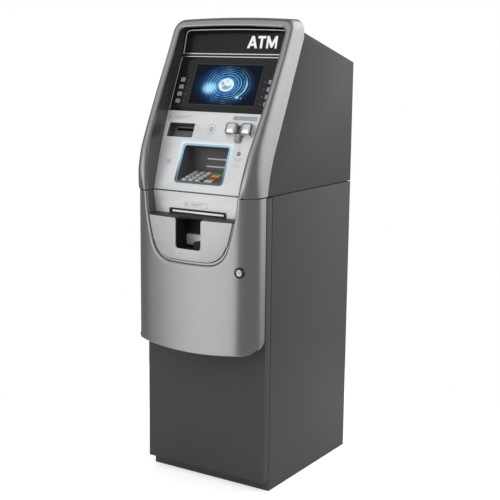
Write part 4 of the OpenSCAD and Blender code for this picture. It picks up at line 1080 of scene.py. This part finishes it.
# ---- stage, camera and light
floor_mesh = grid_mesh("floor", [circle(r, 0, 96) for r in (1, 1000)], closed_ring=True)
floor = bpy.data.objects.new("floor", floor_mesh)
bpy.context.scene.collection.objects.link(floor)
floor_mat = bpy.data.materials.new("floor_white")
floor_mat.use_nodes = True
t = floor_mat.node_tree
shader = t.nodes["Principled BSDF"]
shader.inputs["Base Color"].default_value = (0.7, 0.7, 0.7, 1)
shader.inputs["Roughness"].default_value = 0.85
shader.inputs["Specular IOR Level"].default_value = 0.1
shader.inputs["Emission Color"].default_value = (1, 1, 1, 1)
seen_directly = node(t, "ShaderNodeLightPath", out=0)
t.links.new(maths(t, "MULTIPLY", seen_directly, 0.6), shader.inputs["Emission Strength"])
floor_mesh.materials.append(floor_mat)

CAMERA_PLACE = Vector((1.694009, FRONT_Y * MM - 2.431677, 1.227950))
CAMERA_LENS = 77.774
AZIMUTH, PITCH, ROLL = math.radians(32.456), math.radians(10.530), math.radians(0.6458)
level = math.cos(PITCH)
back_dir = Vector((math.sin(AZIMUTH) * level, -math.cos(AZIMUTH) * level, math.sin(PITCH)))
right_dir = (-back_dir).cross(Vector((0, 0, 1))).normalized()
up_dir = right_dir.cross(-back_dir)
tilted_right = math.cos(ROLL) * right_dir + math.sin(ROLL) * up_dir
tilted_up = -math.sin(ROLL) * right_dir + math.cos(ROLL) * up_dir
camera_data = bpy.data.cameras.new("camera")
camera_data.sensor_width = 36
camera_data.lens = CAMERA_LENS
camera = bpy.data.objects.new("camera", camera_data)
place = Matrix((tilted_right, tilted_up, back_dir)).transposed().to_4x4()
place.translation = CAMERA_PLACE
camera.matrix_world = place
bpy.context.scene.collection.objects.link(camera)
bpy.context.scene.camera = camera

world = bpy.data.worlds.new("studio")
bpy.context.scene.world = world
world.use_nodes = True
t = world.node_tree
t.nodes.clear()
direction = node(t, "ShaderNodeTexCoord", out=0)


def softbox(azimuth, rise, edge, core, gain, tall=1.0):
    """A soft patch of light. Azimuth runs from the front towards the right; the angles are in degrees."""
    a = math.radians(azimuth)
    aim = Vector((math.sin(a), -math.cos(a), math.tan(math.radians(rise)) / tall)).normalized()
    squeezed = node(t, "ShaderNodeVectorMath", direction, (1.0, 1.0, 1 / tall), operation="MULTIPLY")
    unit = node(t, "ShaderNodeVectorMath", squeezed, operation="NORMALIZE")
    dot = node(t, "ShaderNodeVectorMath", unit, tuple(aim), operation="DOT_PRODUCT", out=1)
    return ramp(t, dot, math.cos(math.radians(edge)), math.cos(math.radians(core)), 0.0, gain)


BASE_LIGHT = 0.26
FRONT_LIGHT = (-27, -4, 30, 4, 1.1, 1.2)
SIDE_LIGHT = (146, 28, 48, 16, 1.6)
CORNER_LIGHT = (-32, 45, 36, 12, 0.3)
TOP_LIGHT = (0, 42, 60, 20, 0.28)
FILL = (0, 75, 65, 20, 0.72)
total = BASE_LIGHT
for light in (FRONT_LIGHT, SIDE_LIGHT, CORNER_LIGHT, TOP_LIGHT):
    total = maths(t, "ADD", total, softbox(*light))
is_diffuse = node(t, "ShaderNodeLightPath", out=2)
total = maths(t, "MULTIPLY_ADD", is_diffuse, softbox(*FILL), total)
lit = node(t, "ShaderNodeBackground", (1, 1, 1, 1), total)
seen = node(t, "ShaderNodeBackground", (1, 1, 1, 1), 1.0)
is_camera = node(t, "ShaderNodeLightPath", out=0)
mixed = node(t, "ShaderNodeMixShader", is_camera, lit, seen)
output = t.nodes.new("ShaderNodeOutputWorld")
t.links.new(mixed, output.inputs["Surface"])
bpy.context.scene.view_settings.view_transform = "Standard"
bpy.context.scene.view_settings.look = "None"
